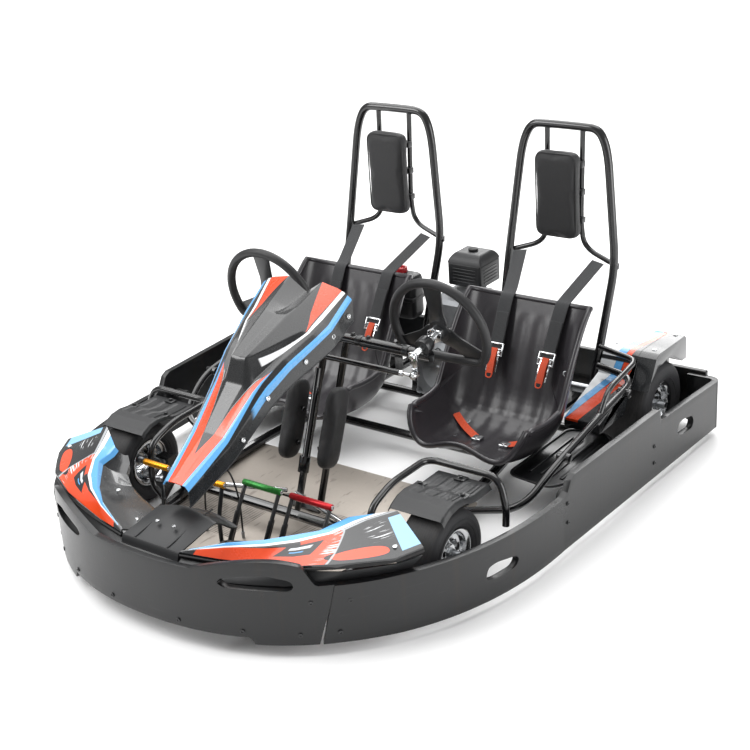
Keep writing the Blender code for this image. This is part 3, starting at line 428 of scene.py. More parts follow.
def joined(pieces):
    deselectAll()
    for piece in pieces:
        piece.select_set(True)
    bpy.context.view_layer.objects.active = pieces[0]
    bpy.ops.object.join()
    return pieces[0]


def finished(name, pieces, finish, body="chassis", replaces=(), angle=32):
    # one named piece on its body, with its finish
    piece = joined(pieces) if isinstance(pieces, list) else pieces
    settled(piece)
    piece.name = name.replace(" ", "_")
    piece.data.materials.clear()
    piece.data.materials.append(finishes[finish] if isinstance(finish, str) else finish)
    pick(piece)
    bpy.ops.object.shade_smooth_by_angle(angle=radians(angle))
    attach(piece, body)
    if replaces:
        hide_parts(*replaces)
    return piece


def gridSheet(columns, rows, shape):
    # a grid whose points are laid on a surface; its map keeps across and along from 0 to 1
    deselectAll()
    bpy.ops.mesh.primitive_grid_add(x_subdivisions=columns, y_subdivisions=rows, size=1.0, calc_uvs=True)
    piece = bpy.context.object
    for vertex in piece.data.vertices:
        vertex.co = shape(vertex.co.x + 0.5, vertex.co.y + 0.5)
    piece.data.update()
    return piece


def placing(origin, *axes):
    # the matrix that lays a piece on three axes at a place
    return Matrix.Translation(origin) @ Matrix(axes).transposed().to_4x4()


def bar(start, end, radius, sidesRound=24, edge=0.0):
    deselectAll()
    start, end = Vector(start), Vector(end)
    turn = (end - start).to_track_quat("Z", "Y").to_euler()
    bpy.ops.mesh.primitive_cylinder_add(vertices=sidesRound, radius=radius, depth=(end - start).length,
                                        location=(start + end) / 2, rotation=turn)
    piece = settled(bpy.context.object)
    return softened(piece, edge, 2) if edge else piece


def pin(middle, half, radius, sidesRound=24, edge=0.0):
    # a bar about its middle; half reaches from the middle to an end
    half = Vector(half)
    return bar(middle - half, middle + half, radius, sidesRound, edge)


def block(low, high, edge=0.002, segments=3):
    deselectAll()
    low, high = Vector(low), Vector(high)
    bpy.ops.mesh.primitive_cube_add(size=1.0, location=(low + high) / 2)
    piece = bpy.context.object
    piece.scale = [abs(c) for c in high - low]
    return softened(settled(piece), edge, segments)


def bentRoute(corners, bend, steps=8):
    corners = [Vector(corner) for corner in corners]
    route = [corners[0]]
    for before, corner, after in zip(corners, corners[1:], corners[2:]):
        start = corner + (before - corner).normalized() * min(bend, (before - corner).length * 0.45)
        end = corner + (after - corner).normalized() * min(bend, (after - corner).length * 0.45)
        for k in range(steps + 1):
            t = k / steps
            route.append(start * (1 - t) ** 2 + corner * 2 * t * (1 - t) + end * t ** 2)
    return route + [corners[-1]]


def tube(route, radius, ring=6, closed=False):
    # a round tube swept along a route; ring sets how many facets go round
    curve = bpy.data.curves.new("tube", "CURVE")
    curve.dimensions = "3D"
    curve.bevel_depth = radius
    curve.bevel_resolution = ring
    curve.use_fill_caps = not closed
    line = curve.splines.new("POLY")
    line.points.add(len(route) - 1)
    line.use_cyclic_u = closed
    for point, place in zip(line.points, route):
        point.co = (*place, 1.0)
    piece = bpy.data.objects.new("tube", curve)
    bpy.context.collection.objects.link(piece)
    pick(piece)
    bpy.ops.object.convert(target="MESH")
    return bpy.context.object


def spun(profile, centre, axis=(1, 0, 0), steps=96, closed=True):
    # turn a profile of (along, out) points about an axis through centre
    mesh = bpy.data.meshes.new("spun")
    points = [(along, 0.0, out) for along, out in profile]
    edges = [(k, k + 1) for k in range(len(points) - 1)] + ([(len(points) - 1, 0)] if closed else [])
    mesh.from_pydata(points, edges, [])
    piece = bpy.data.objects.new("spun", mesh)
    bpy.context.collection.objects.link(piece)
    opened(piece)
    bpy.ops.mesh.spin(steps=steps, angle=2 * pi, center=(0, 0, 0), axis=(1, 0, 0))
    bpy.ops.mesh.select_all(action="SELECT")
    bpy.ops.mesh.remove_doubles(threshold=0.00003)
    bpy.ops.mesh.normals_make_consistent(inside=False)
    leaveEdit()
    turn = Vector(axis).to_track_quat("X", "Z").to_matrix().to_4x4()
    piece.data.transform(Matrix.Translation(centre) @ turn)
    return piece


def hexHead(place, facing, across=0.013, tall=0.007, washer=True):
    # a bolt head with its washer, facing outwards
    place, facing = Vector(place), Vector(facing).normalized()
    made = [bar(place - facing * 0.001, place + facing * tall, across / 1.73, 6)]
    softened(made[0], 0.0007, 2)
    if washer:
        made.append(bar(place - facing * 0.001, place + facing * 0.0018, across * 0.86, 20))
    return made


def capHead(place, facing, radius=0.0065, tall=0.005):
    # a round socket head with its hex recess
    place, facing = Vector(place), Vector(facing).normalized()
    head = bar(place - facing * 0.001, place + facing * tall, radius, 20)
    opened(head)
    bpy.ops.mesh.select_all(action="DESELECT")
    leaveEdit()
    for face in head.data.polygons:
        face.select = face.normal.dot(facing) > 0.99
    bpy.ops.object.mode_set(mode="EDIT")
    bpy.ops.mesh.select_mode(type="FACE")
    bpy.ops.mesh.inset(thickness=radius * 0.42)
    bpy.ops.mesh.extrude_region_move(TRANSFORM_OT_translate={"value": tuple(-facing * tall * 0.55)})
    leaveEdit()
    return [softened(head, 0.0006, 2, 50)]


def heads(places, facing, radius, tall):
    return sum((capHead(place, facing, radius, tall) for place in places), [])


def refined(node, width=0.0015, segments=2, angle=30):
    # a merged copy of a CAD node with its edges rounded
    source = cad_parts[node]
    copy = bpy.data.objects.new(node + " shell", source.data.copy())
    bpy.context.collection.objects.link(copy)
    cleaned(copy)
    modified(copy, "DECIMATE", decimate_type="DISSOLVE", angle_limit=radians(0.5))
    return softened(copy, width, segments, angle) if width else copy


def mirroredAcross(points, side):
    return [(side * x, y, z) for x, y, z in points]


def blend(t):
    t = min(max(t, 0.0), 1.0)
    return t * t * (3 - 2 * t)


def plate(outline, axis, low, high, edge=0.0015, segments=2):
    # a flat shape drawn in the two other axes, pulled from low to high along axis
    bpy.ops.mesh.primitive_circle_add(vertices=len(outline), radius=0.1, fill_type="NGON")
    piece = bpy.context.object
    for vertex, (a, b) in zip(piece.data.vertices, outline):
        vertex.co = {"x": (low, a, b), "y": (a, low, b), "z": (a, b, low)}[axis]
    opened(piece)
    pull = tuple(high - low if letter == axis else 0 for letter in "xyz")
    bpy.ops.mesh.extrude_region_move(TRANSFORM_OT_translate={"value": pull})
    bpy.ops.mesh.select_all(action="SELECT")
    bpy.ops.mesh.normals_make_consistent(inside=False)
    leaveEdit()
    return softened(piece, edge, segments) if edge else piece


def roundOutline(points, bend=0.01, steps=5):
    # round every corner of a closed outline
    ring = [Vector((*point, 0)) for point in points]
    ring = [(ring[-1] + ring[0]) / 2] + ring + [(ring[-1] + ring[0]) / 2]
    return [(p.x, p.y) for p in bentRoute(ring, bend, steps)][:-1]


def cutBy(piece, cutter):
    modified(piece, "BOOLEAN", operation="DIFFERENCE", solver="EXACT", object=cutter)
    bpy.data.objects.remove(cutter, do_unlink=True)
    return piece


# bumper: four sheet-plastic boards with rolled edges, slots and bolts
bumperForm = {"halfWidth": 0.768, "noseDepth": 0.87, "corner": 2.2, "y": -0.05, "wall": 0.02,
              "rearHalfWidth": 0.81, "rearY": 0.9, "edge": 0.0032, "splitLow": 0.47, "splitHigh": 0.512}


def nosePoint(angle):
    power = 2 / bumperForm["corner"]
    x = bumperForm["halfWidth"] * copysign(abs(sin(angle)) ** power, angle)
    return Vector((x, bumperForm["y"] - bumperForm["noseDepth"] * max(cos(angle), 0.0) ** power))


def angleAt(x):
    return asin((abs(x) / bumperForm["halfWidth"]) ** (bumperForm["corner"] / 2))


def frontTop(x):
    x = abs(x)
    if x < 0.17:
        return 0.24
    if x < 0.37:
        return 0.24 + 0.039 * sin((x - 0.17) / 0.2 * pi / 2)
    if x < 0.44:
        return 0.279 - 0.014 * ((x - 0.37) / 0.07) ** 2
    return 0.265 - 0.058 * blend((x - 0.44) / 0.035)


def frontBoard(u, v):
    x = (2 * u - 1) * bumperForm["splitHigh"] * 0.9975
    lean = max(abs(x) - 0.44, 0) * (bumperForm["splitLow"] - 0.44) / (bumperForm["splitHigh"] - 0.44)
    xLow = copysign(min(abs(x), 0.44) + lean, x)
    bottom = 0.057 - 0.02 * blend((abs(x) - 0.318) / 0.01)
    low, high = nosePoint(copysign(angleAt(xLow), x)), nosePoint(copysign(angleAt(x), x))
    place = low.lerp(high, v)
    crown = 0.0014 * sin(pi * v) ** 0.5
    away = Vector((place.x * 0.5, place.y - bumperForm["y"])).normalized() * (crown - 0.0014)
    return place.x + away.x, place.y + away.y, bottom + (frontTop(x) - bottom) * v


def sideRoute():
    # outer line of a side board from the front split to the rear corner, with its top edge
    start = angleAt((bumperForm["splitLow"] + bumperForm["splitHigh"]) / 2) + 0.0022
    route = []
    for k in range(60):
        angle = start + (pi / 2 - start) * k / 60
        share = (pi / 2 - angle) / (pi / 2 - start)
        route.append((nosePoint(angle), 0.193 + 0.013 * share, 0.03 + 0.006 * share))
    tops = ((-0.05, 0.193), (-0.03, 0.203), (-0.012, 0.233), (0.01, 0.243), (0.488, 0.243), (0.494, 0.239),
            (0.498, 0.206), (0.54, 0.201), (0.556, 0.203), (0.864, 0.19))
    flare = (bumperForm["rearHalfWidth"] - bumperForm["halfWidth"]) / (bumperForm["rearY"] - bumperForm["y"])
    stops = [y + step for y, _ in tops for step in (-0.003, 0, 0.003)]
    ys = sorted(set(list(np.linspace(-0.05, 0.864, 90)) + stops))
    for y in ys:
        if -0.05 <= y <= 0.864:
            top = float(np.interp(y, [t[0] for t in tops], [t[1] for t in tops]))
            x = bumperForm["halfWidth"] + flare * (y - bumperForm["y"])
            route.append((Vector((x, y)), top, 0.03))
    corner = 0.036
    for k in range(1, 13):
        angle = pi / 2 * k / 12
        place = Vector((bumperForm["rearHalfWidth"] - corner + corner * cos(angle),
                        bumperForm["rearY"] - corner + corner * sin(angle)))
        route.append((place, 0.19, 0.03))
    return route + [(Vector((0.7, bumperForm["rearY"])), 0.19, 0.03)]


def walled(sheet, thickness, inside):
    # give a sheet its thickness towards a point that lies on its inner side
    cleaned(sheet, closed=False)
    face = sheet.data.polygons[len(sheet.data.polygons) // 2]
    facesIn = face.normal.dot(Vector(inside) - face.center) > 0
    return modified(sheet, "SOLIDIFY", thickness=thickness, offset=1.0 if facesIn else -1.0,
                    use_even_offset=True, use_rim=True)


def buildBoards():
    board = walled(gridSheet(150, 14, frontBoard), bumperForm["wall"] - 0.001, (0, 0, 0.15))
    lens = [(0.245, 0.212), (0.262, 0.2), (0.345, 0.198), (0.418, 0.196), (0.428, 0.21), (0.42, 0.226),
            (0.365, 0.242), (0.305, 0.236), (0.258, 0.226)]
    for _, side in sides:
        outline = roundOutline([(side * x, z) for x, z in lens], 0.014)
        cutBy(board, plate(outline, "y", -1.0, -0.7, 0))
    softened(board, bumperForm["edge"], 3, 40)
    finished("front bumper board", board, "bumper", "chassis", ["bumper_front"], 40)
    route = sideRoute()
    for word, side in sides:
        def sideBoard(u, v):
            place = u * (len(route) - 1)
            k = min(int(place), len(route) - 2)
            f = place - k
            point = route[k][0].lerp(route[k + 1][0], f)
            top = route[k][1] * (1 - f) + route[k + 1][1] * f
            low = route[k][2] * (1 - f) + route[k + 1][2] * f
            lean = max(1 - u * 12, 0) * (v - 0.5) * 0.042
            return side * (point.x + lean * 0.8), point.y + lean * 0.55, low + (top - low) * v
        shell = walled(gridSheet(len(route) * 2, 8, sideBoard), bumperForm["wall"] - 0.001, (0, 0.2, 0.1))
        front = [(-0.385, 0.1), (-0.375, 0.132), (-0.345, 0.137), (-0.275, 0.125), (-0.262, 0.11),
                 (-0.278, 0.092), (-0.35, 0.089)]
        rear = [(0.605, 0.12), (0.615, 0.148), (0.64, 0.152), (0.7, 0.14), (0.712, 0.118),
                (0.7, 0.098), (0.625, 0.102)]
        for outline in (front, rear):
            low, high = sorted((side * 0.66, side * 0.86))
            cutBy(shell, plate(roundOutline(outline, 0.012), "x", low, high, 0))
        softened(shell, bumperForm["edge"], 3, 40)
        finished(f"side bumper board {word}", shell, "bumper", "chassis", [f"bumper_{word}"], 40)
    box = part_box("bumper_rear")
    rear = block(box[0], box[1], 0.004, 3)
    finished("rear bumper board", rear, "bumper", "chassis", ["bumper_rear"])
    bolts = []
    for side in (-1, 1):
        for x, z in ((0.459, 0.161), (0.432, 0.068), (0.534, 0.158), (0.511, 0.068), (0.12, 0.075),
                     (0.3, 0.075)):
            here = nosePoint(copysign(angleAt(x), side))
            ahead = nosePoint(copysign(angleAt(x) + 0.01, side))
            run = (ahead - here).normalized() * side
            away = Vector((run.y, -run.x, 0))
            away = away if away.dot(Vector((here.x, here.y - 0.1, 0))) > 0 else -away
            bolts += capHead(Vector((here.x, here.y, z)) - away * 0.0012, away, 0.0062, 0.0035)
        for y, z in ((-0.03, 0.169), (-0.03, 0.11), (0.46, 0.135), (0.46, 0.08)):
            x = side * (bumperForm["halfWidth"] + 0.0442 * (y + 0.05))
            bolts += capHead((x - side * 0.0005, y, z), (side, 0, 0), 0.0062, 0.0035)
            bolts += hexHead((x - side * 0.02, y, z), (-side, 0, 0))
    spots = [(x, box[1][1] - 0.0005, z) for x in (-0.62, -0.3, 0.3, 0.62) for z in (0.07, 0.15)]
    bolts += heads(spots, (0, 1, 0), 0.0062, 0.003)
    finished("bumper bolts", bolts, "satin")
    bushProfile = [(0, 0.004), (0, 0.021), (0.004, 0.024), (0.02, 0.022), (0.036, 0.024), (0.04, 0.021),
                   (0.04, 0.004)]
    bushes = [spun(bushProfile, (x, 0.03, 0.15), (1, 0, 0), 40) for x in (-0.7495, 0.7095)]
    finished("bumper bushes", bushes, "rubber")
    print("bumper boards done")


buildBoards()


# steering fairing and nose pods
fairingForm = {
    "stations": (
        (-0.142, ((0, 0.7), (0.06, 0.739), (0.095, 0.732), (0.112, 0.729), (0.136, 0.72), (0.16, 0.704),
                  (0.163, 0.64))),
        (-0.235, ((0, 0.684), (0.05, 0.702), (0.084, 0.684), (0.106, 0.672), (0.13, 0.662), (0.155, 0.648),
                  (0.158, 0.59))),
        (-0.284, ((0, 0.683), (0.042, 0.686), (0.098, 0.652), (0.108, 0.646), (0.122, 0.64), (0.142, 0.626),
                  (0.145, 0.568))),
        (-0.38, ((0, 0.644), (0.032, 0.647), (0.059, 0.63), (0.076, 0.6), (0.096, 0.6), (0.117, 0.586),
                  (0.12, 0.53))),
        (-0.454, ((0, 0.615), (0.023, 0.617), (0.026, 0.614), (0.05, 0.558), (0.075, 0.556), (0.096, 0.541),
                  (0.099, 0.484))),
        (-0.482, ((0, 0.546), (0.028, 0.546), (0.034, 0.544), (0.048, 0.538), (0.069, 0.536), (0.09, 0.52),
                  (0.093, 0.462))),
        (-0.6, ((0, 0.449), (0.018, 0.449), (0.024, 0.448), (0.04, 0.446), (0.057, 0.444), (0.074, 0.43),
                  (0.077, 0.378))),
        (-0.7, ((0, 0.393), (0.014, 0.393), (0.018, 0.392), (0.028, 0.391), (0.042, 0.389), (0.056, 0.377),
                  (0.058, 0.33))),
        (-0.748, ((0, 0.366), (0.011, 0.366), (0.014, 0.366), (0.024, 0.365), (0.035, 0.364), (0.046, 0.352),
                  (0.048, 0.306)))),
    "wall": 0.004, "columns": 168, "rows": 180,
}


def stationPoint(stations, across, along):
    # straight lines between the points of a section, straight runs between sections
    place = along * (len(stations) - 1)
    k = min(int(place), len(stations) - 2)
    f = place - k
    spot = across * (len(stations[0][1]) - 1)
    j = min(int(spot), len(stations[0][1]) - 2)
    g = spot - j
    here = Vector(stations[k][1][j]).lerp(Vector(stations[k][1][j + 1]), g)
    after = Vector(stations[k + 1][1][j]).lerp(Vector(stations[k + 1][1][j + 1]), g)
    return here.lerp(after, f), stations[k][0] * (1 - f) + stations[k + 1][0] * f


def evenAlong(stations):
    # make the map run evenly along y, so the paint lines keep their slant
    ys = [station[0] for station in stations]
    return lambda v: float(np.interp(ys[0] + (ys[-1] - ys[0]) * v, ys[::-1], np.linspace(1, 0, len(ys))))


def buildFairing():
    stations = fairingForm["stations"]
    even = evenAlong(stations)

    def surface(u, v):
        side = 1 if u >= 0.5 else -1
        point, y = stationPoint(stations, abs(2 * u - 1), even(v))
        return side * point.x, y, point.y

    shell = gridSheet(fairingForm["columns"], fairingForm["rows"], surface)
    modified(shell, "SMOOTH", factor=0.5, iterations=3)
    walled(shell, fairingForm["wall"], (0, -0.4, 0.2))
    finished("steering fairing shell", shell, "fairing", "chassis", ["steering_fairing"], 30)
    lip = []
    for side in (-1, 1):
        line = [Vector((side * (s[1][6][0] - 0.003), s[0], s[1][6][1])) for s in stations]
        lip.append(tube(bentRoute(line, 0.03), 0.0035, 4))
    finished("fairing lower edge", lip, "moulded")
    spots = ((0.1545, -0.231, 0.622), (0.161, -0.165, 0.66), (0.1315, -0.33, 0.58),
             (0.097, -0.46, 0.515), (0.0835, -0.56, 0.43))
    screws = []
    for side in (-1, 1):
        screws += heads(mirroredAcross(spots, side), (side, 0, 0.15), 0.0075, 0.004)
    finished("fairing screws", screws, "chrome")


podForm = {
    "stations": (
        ((0.105, -0.864, 0.247), (0.108, -0.86, 0.25), (0.11, -0.856, 0.251), (0.105, -0.69, 0.196)),
        ((0.215, -0.838, 0.246), (0.222, -0.822, 0.27), (0.223, -0.812, 0.283), (0.18, -0.66, 0.198)),
        ((0.307, -0.808, 0.246), (0.318, -0.772, 0.276), (0.3, -0.756, 0.285), (0.255, -0.64, 0.208)),
        ((0.4, -0.778, 0.248), (0.383, -0.721, 0.28), (0.35, -0.705, 0.287), (0.315, -0.615, 0.215)),
        ((0.508, -0.725, 0.259), (0.444, -0.638, 0.284), (0.4, -0.652, 0.289), (0.352, -0.595, 0.235)),
        ((0.609, -0.62, 0.252), (0.485, -0.56, 0.298), (0.412, -0.595, 0.288), (0.372, -0.56, 0.25)),
        ((0.646, -0.545, 0.258), (0.53, -0.488, 0.303), (0.425, -0.56, 0.29), (0.392, -0.545, 0.264))),
    "wall": 0.006, "drop": 0.02,
}


def buildPods():
    stations = podForm["stations"]
    count = len(stations) - 1
    for word, side in sides:
        def surface(u, v):
            # u: inner wall foot, inner edge, crest, slope edge, lip, lip foot; v: from the centre outwards
            place = v * count
            k = min(int(place), count - 1)
            f = blend(place - k) * 0.35 + (place - k) * 0.65
            pairs = zip(stations[k], stations[k + 1])
            lip, edge, crest, inner = [Vector(a).lerp(Vector(b), f) for a, b in pairs]
            line = [inner - zUp * podForm["drop"], inner, crest, edge, lip, lip - zUp * 0.012]
            stops = (0.0, 0.05, 0.44, 0.52, 0.94, 1.0)
            j = max(i for i in range(5) if u >= stops[i] - 1e-9) if u > 0 else 0
            g = (u - stops[j]) / (stops[j + 1] - stops[j])
            point = line[j].lerp(line[j + 1], min(max(g, 0), 1))
            sag = 0.01 * sin(pi * g) if j == 1 else 0.0
            return side * point.x, point.y, point.z - sag
        shell = gridSheet(100, 110, surface)
        modified(shell, "SMOOTH", factor=0.5, iterations=2)
        middle = Vector((side * 0.38, -0.66, 0.0))
        walled(shell, podForm["wall"], middle)
        finished(f"nose pod shell {word}", shell, "pod", "chassis", [f"nose_{word}"], 34)
        lip = [Vector((side * s[0][0], s[0][1], s[0][2] - 0.01)) for s in stations]
        seam = tube(bentRoute(lip, 0.05), 0.0045, 4)
        finished(f"nose pod lip {word}", seam, "dark")
        spots = ((0.15, -0.765, 0.2225), (0.29, -0.69, 0.2415), (0.59, -0.59, 0.264))
        screws = heads(mirroredAcross(spots, side), (0, -0.2, 1), 0.006, 0.0035)
        finished(f"nose pod fixings {word}", screws, "chrome")

    def centreTop(u, v):
        # a soft hump that climbs from the lip and falls away behind
        wide = 0.101 * (2 * u - 1)
        climb = 0.036 * blend(v * 1.5) * (1 - 0.55 * (2 * u - 1) ** 2) - 0.05 * blend((v - 0.62) / 0.38)
        return wide, -0.872 + 0.236 * v, 0.243 + climb - 0.02 * blend((0.04 - v) / 0.04)

    cover = walled(gridSheet(60, 70, centreTop), 0.004, (0, -0.75, 0.0))
    ribs = [tube(bentRoute([(side * 0.058, -0.86 + 0.2 * k, 0.2445 + 0.026 * blend(k * 1.4)) for k in
                            (0, 0.3, 0.6, 0.9)], 0.03), 0.0022, 4) for side in (-1, 1)]
    finished("nose centre cover", [cover] + ribs, "moulded", "chassis", ["nose_centre"])
    spots = [(x, y, 0.269) for y in (-0.735, -0.8) for x in (-0.03, 0.03)]
    screws = heads(spots, (0, 0.1, 1), 0.006, 0.0035)
    finished("nose centre screws", screws, "chrome")

    def skirt(u, v):
        # dark shelf from under the painted lips out to the inner face of the board, then down behind it
        x = 0.64 * (2 * u - 1)
        lips = [(-s[0][0], s[0][1]) for s in reversed(stations)] + [(s[0][0], s[0][1]) for s in stations]
        y = float(np.interp(x, [p[0] for p in lips], [p[1] for p in lips]))
        board = nosePoint(copysign(angleAt(x), x))
        within = Vector((board.x, board.y + 0.3)).normalized() * -0.024
        near = Vector((x, y + 0.012, 0.232))
        out = Vector((board.x + within.x, board.y + within.y, 0.2))
        low = out - zUp * 0.075
        return near.lerp(out, v * 2) if v < 0.5 else out.lerp(low, v * 2 - 1)

    shelf = gridSheet(160, 24, skirt)
    modified(cleaned(shelf, False), "SOLIDIFY", thickness=0.003, offset=0.0)
    finished("nose skirt", shelf, "moulded")
    print("fairing and pods done")


buildFairing()
buildPods()


# mudguards, wheel hoops and side bars
def buildGuards():
    skin = ((-0.424, 0.262), (-0.412, 0.272), (-0.385, 0.284), (-0.352, 0.288), (-0.318, 0.284),
            (-0.29, 0.273), (-0.262, 0.268), (-0.19, 0.268))
    for word, side in sides:
        def surface(u, v):
            y = skin[0][0] + (skin[-1][0] - skin[0][0]) * v
            z = float(np.interp(y, [s[0] for s in skin], [s[1] for s in skin]))
            wave = max(0.0, cos(2 * pi * (u * 4 + 0.5)))
            ridge = 0.0028 * wave ** 0.5 if 0.1 < u < 0.9 and 0.3 < v < 0.92 else 0
            fall = 0.016 * max(0.0, (u - 0.93) / 0.07) ** 2 + 0.01 * max(0.0, (0.05 - u) / 0.05) ** 2
            return side * (0.449 + 0.178 * u), y, z + ridge - fall - 0.002
        shell = walled(gridSheet(90, 60, surface), 0.003, (side * 0.54, -0.32, 0.12))
        finished(f"mudguard shell {word}", shell, "moulded", "chassis", [f"mudguard_{word}"], 40)
        fixings = []
        for x, y, z in ((0.47, -0.3, 0.276), (0.606, -0.3, 0.276), (0.54, -0.205, 0.268)):
            fixings.append(block((side * x - 0.016, y - 0.013, z), (side * x + 0.016, y + 0.013, z + 0.0028),
                                 0.001))
            fixings += hexHead((side * x, y, z + 0.0025), (0, 0, 1), 0.011, 0.006)
        finished(f"mudguard brackets {word}", fixings, "satin")
        guard = [(0.362, -0.458, 0.092), (0.404, -0.455, 0.125), (0.404, -0.442, 0.25),
                 (0.404, -0.34, 0.282), (0.408, -0.172, 0.282), (0.64, -0.172, 0.282),
                 (0.668, -0.185, 0.2), (0.668, -0.19, 0.15)]
        hoop = tube(bentRoute(mirroredAcross(guard, side), 0.04), 0.01, 6)
        finished(f"wheel hoop {word}", hoop, "tube", "chassis", [f"wheel_guard_{word}"])
        low = [(0.425, -0.07, 0.072), (0.64, -0.06, 0.13), (0.672, 0.08, 0.215), (0.668, 0.4, 0.262),
               (0.668, 0.575, 0.285), (0.53, 0.6, 0.292)]
        top = [(0.668, 0.35, 0.258), (0.668, 0.4, 0.318), (0.665, 0.59, 0.34), (0.53, 0.61, 0.352)]
        rails = [tube(bentRoute(mirroredAcross(low, side), 0.07), 0.011, 6),
                 tube(bentRoute(mirroredAcross(top, side), 0.035), 0.0085, 6)]
        for y, z in ((0.13, 0.2215), (0.5, 0.2745)):
            rails += [bar((side * 0.65, y, z - 0.004), (side * 0.69, y, z - 0.006), 0.0135, 24, 0.001)]
        finished(f"side bar {word}", rails, "tube", "chassis", [f"side_bar_{word}"])
    print("guards and side bars done")


buildGuards()


# rear pods
def buildRearPods():
    for word, side in sides:
        shell = refined(f"rear_pod_{word}", 0.006, 4, 28)
        finished(f"rear pod shell {word}", shell, "rearPod", "chassis", [f"rear_pod_{word}"], 30)
        spots = ((0.545, 0.7, 0.3345), (0.672, 0.7, 0.3345), (0.672, 0.85, 0.3305), (0.545, 0.85, 0.3305))
        fixings = heads(mirroredAcross(spots, side), (0, 0, 1), 0.0065, 0.003)
        finished(f"rear pod screws {word}", fixings, "chrome")
        plan = ((0.47, 0.15), (0.62, 0.13), (0.655, 0.19), (0.655, 0.47), (0.6, 0.52),
                (0.48, 0.5))
        outline = roundOutline([(side * x, y) for x, y in plan], 0.03, 6)
        panel = [plate(outline, "z", 0.1, 0.105, 0.0015)]
        panel.append(tube([(x, y, 0.105) for x, y in outline], 0.005, 5, closed=True))
        for x in (0.52, 0.555, 0.59, 0.625):
            panel.append(block((side * x - 0.006, 0.19, 0.104), (side * x + 0.006, 0.45, 0.11), 0.0025))
        finished(f"side floor panel {word}", panel, "satin")


buildRearPods()


# seats: ribbed shells with a rolled rim
seatForm = {"x": 0.33, "columns": 104, "rows": 130, "wall": 0.005, "ribs": 11, "ribDepth": 0.0011}


def seatSpine(t):
    points = [(0.095, 0.172), (0.125, 0.145), (0.195, 0.118), (0.275, 0.106), (0.35, 0.112), (0.41, 0.142),
              (0.45, 0.2), (0.485, 0.28), (0.52, 0.36), (0.555, 0.435), (0.578, 0.485)]
    place = np.linspace(0, 1, len(points))
    return [float(np.interp(t, place, [point[k] for point in points])) for k in (0, 1)]


def seatSurface(u, t, middle, lift=0.0):
    # u from -1 to 1 across, t from the front lip to the top of the back; lift stands off the shell
    samples = [seatSpine(min(max(t + d, 0), 1)) for d in (-0.05, -0.025, 0, 0.025, 0.05)]
    y = sum(s[0] for s in samples[1:4]) / 3 if 0.03 < t < 0.97 else samples[2][0]
    z = sum(s[1] for s in samples[1:4]) / 3 if 0.03 < t < 0.97 else samples[2][1]
    run = Vector((samples[4][0] - samples[0][0], samples[4][1] - samples[0][1])).normalized()
    up = Vector((-run.y, run.x))
    half = 0.213 + 0.007 * sin(pi * t) - 0.012 * (1 - t) ** 2
    wing = 0.125 * sin(pi * (0.16 + 0.74 * t)) ** 0.8 + 0.012
    rise = wing * abs(u) ** 3.2
    channel = 0.018 * (1 - t) ** 4 * cos(2 * pi * u)
    side = half * sin(u * pi / 2 * 0.92) / sin(pi / 2 * 0.92)
    fade = blend((0.74 - abs(u)) / 0.1) * blend((t - 0.05) / 0.08) * blend((0.93 - t) / 0.06)
    rib = seatForm["ribDepth"] * fade * cos(pi * u * seatForm["ribs"])
    reach = rise + rib + lift
    return Vector((middle + side, y + up.x * reach, z + up.y * reach + channel))


def buildSeats():
    for word, side in sides:
        middle = side * seatForm["x"]
        shell = gridSheet(seatForm["columns"], seatForm["rows"],
                          lambda u, v: seatSurface(2 * u - 1, v, middle))
        modified(shell, "SMOOTH", factor=0.5, iterations=1)
        walled(shell, seatForm["wall"], (middle, 0.9, 0.05))
        ring = [(-1 + 2 * k / 30, 1.0) for k in range(30)] + [(1.0, 1 - k / 40) for k in range(40)]
        ring += [(1 - 2 * k / 30, 0.0) for k in range(30)] + [(-1.0, k / 40) for k in range(40)]
        rim = tube([seatSurface(u, t, middle) for u, t in ring], 0.0088, 6, closed=True)
        finished(f"seat shell {word}", [shell, rim], "seat", "chassis", [f"seat_{word}"], 45)
        bolts = []
        for u, t in ((-0.45, 0.3), (0.45, 0.3), (-0.45, 0.42), (0.45, 0.42), (-0.55, 0.72), (0.55, 0.72)):
            place = seatSurface(u, t, middle, 0.002)
            facing = seatSurface(u, t, middle, 0.01) - place
            bolts += capHead(place, facing, 0.009, 0.003)
        finished(f"seat bolts {word}", bolts, "steel")
    print("seats done")


buildSeats()


# roll hoops with head pads
hoopForm = {"x": 0.324, "radius": 0.0135, "strut": 0.0085}


def puffed(piece, reach, pressure=4.0, voxel=0.005, frames=18):
    # fill a skin with air for a moment so its faces crown and its edges draw in
    modified(piece, "REMESH", mode="VOXEL", voxel_size=voxel)
    before = np.array([v.co[:] for v in piece.data.vertices])
    pick(piece)
    cloth = piece.modifiers.new("skin", "CLOTH")
    cloth.settings.quality = 6
    cloth.settings.mass = 0.2
    cloth.settings.tension_stiffness = 30
    cloth.settings.compression_stiffness = 30
    cloth.settings.bending_stiffness = 0.8
    cloth.settings.use_pressure = True
    cloth.settings.uniform_pressure_force = pressure
    cloth.settings.effector_weights.gravity = 0
    cloth.point_cache.frame_start = 1
    cloth.point_cache.frame_end = frames
    for step in range(1, frames + 1):
        bpy.context.scene.frame_set(step)
    bpy.ops.object.modifier_apply(modifier="skin")
    after = np.array([v.co[:] for v in piece.data.vertices])
    moved = after - before
    far = np.linalg.norm(moved, axis=1)
    keep = np.minimum(1.0, reach / np.maximum(far, 1e-9))
    final = before + moved * keep[:, None]
    for vertex, place in zip(piece.data.vertices, final):
        vertex.co = place
    bpy.context.scene.frame_set(1)
    modified(piece, "SMOOTH", factor=0.5, iterations=4)
    return modified(piece, "SUBSURF", levels=1, render_levels=1)


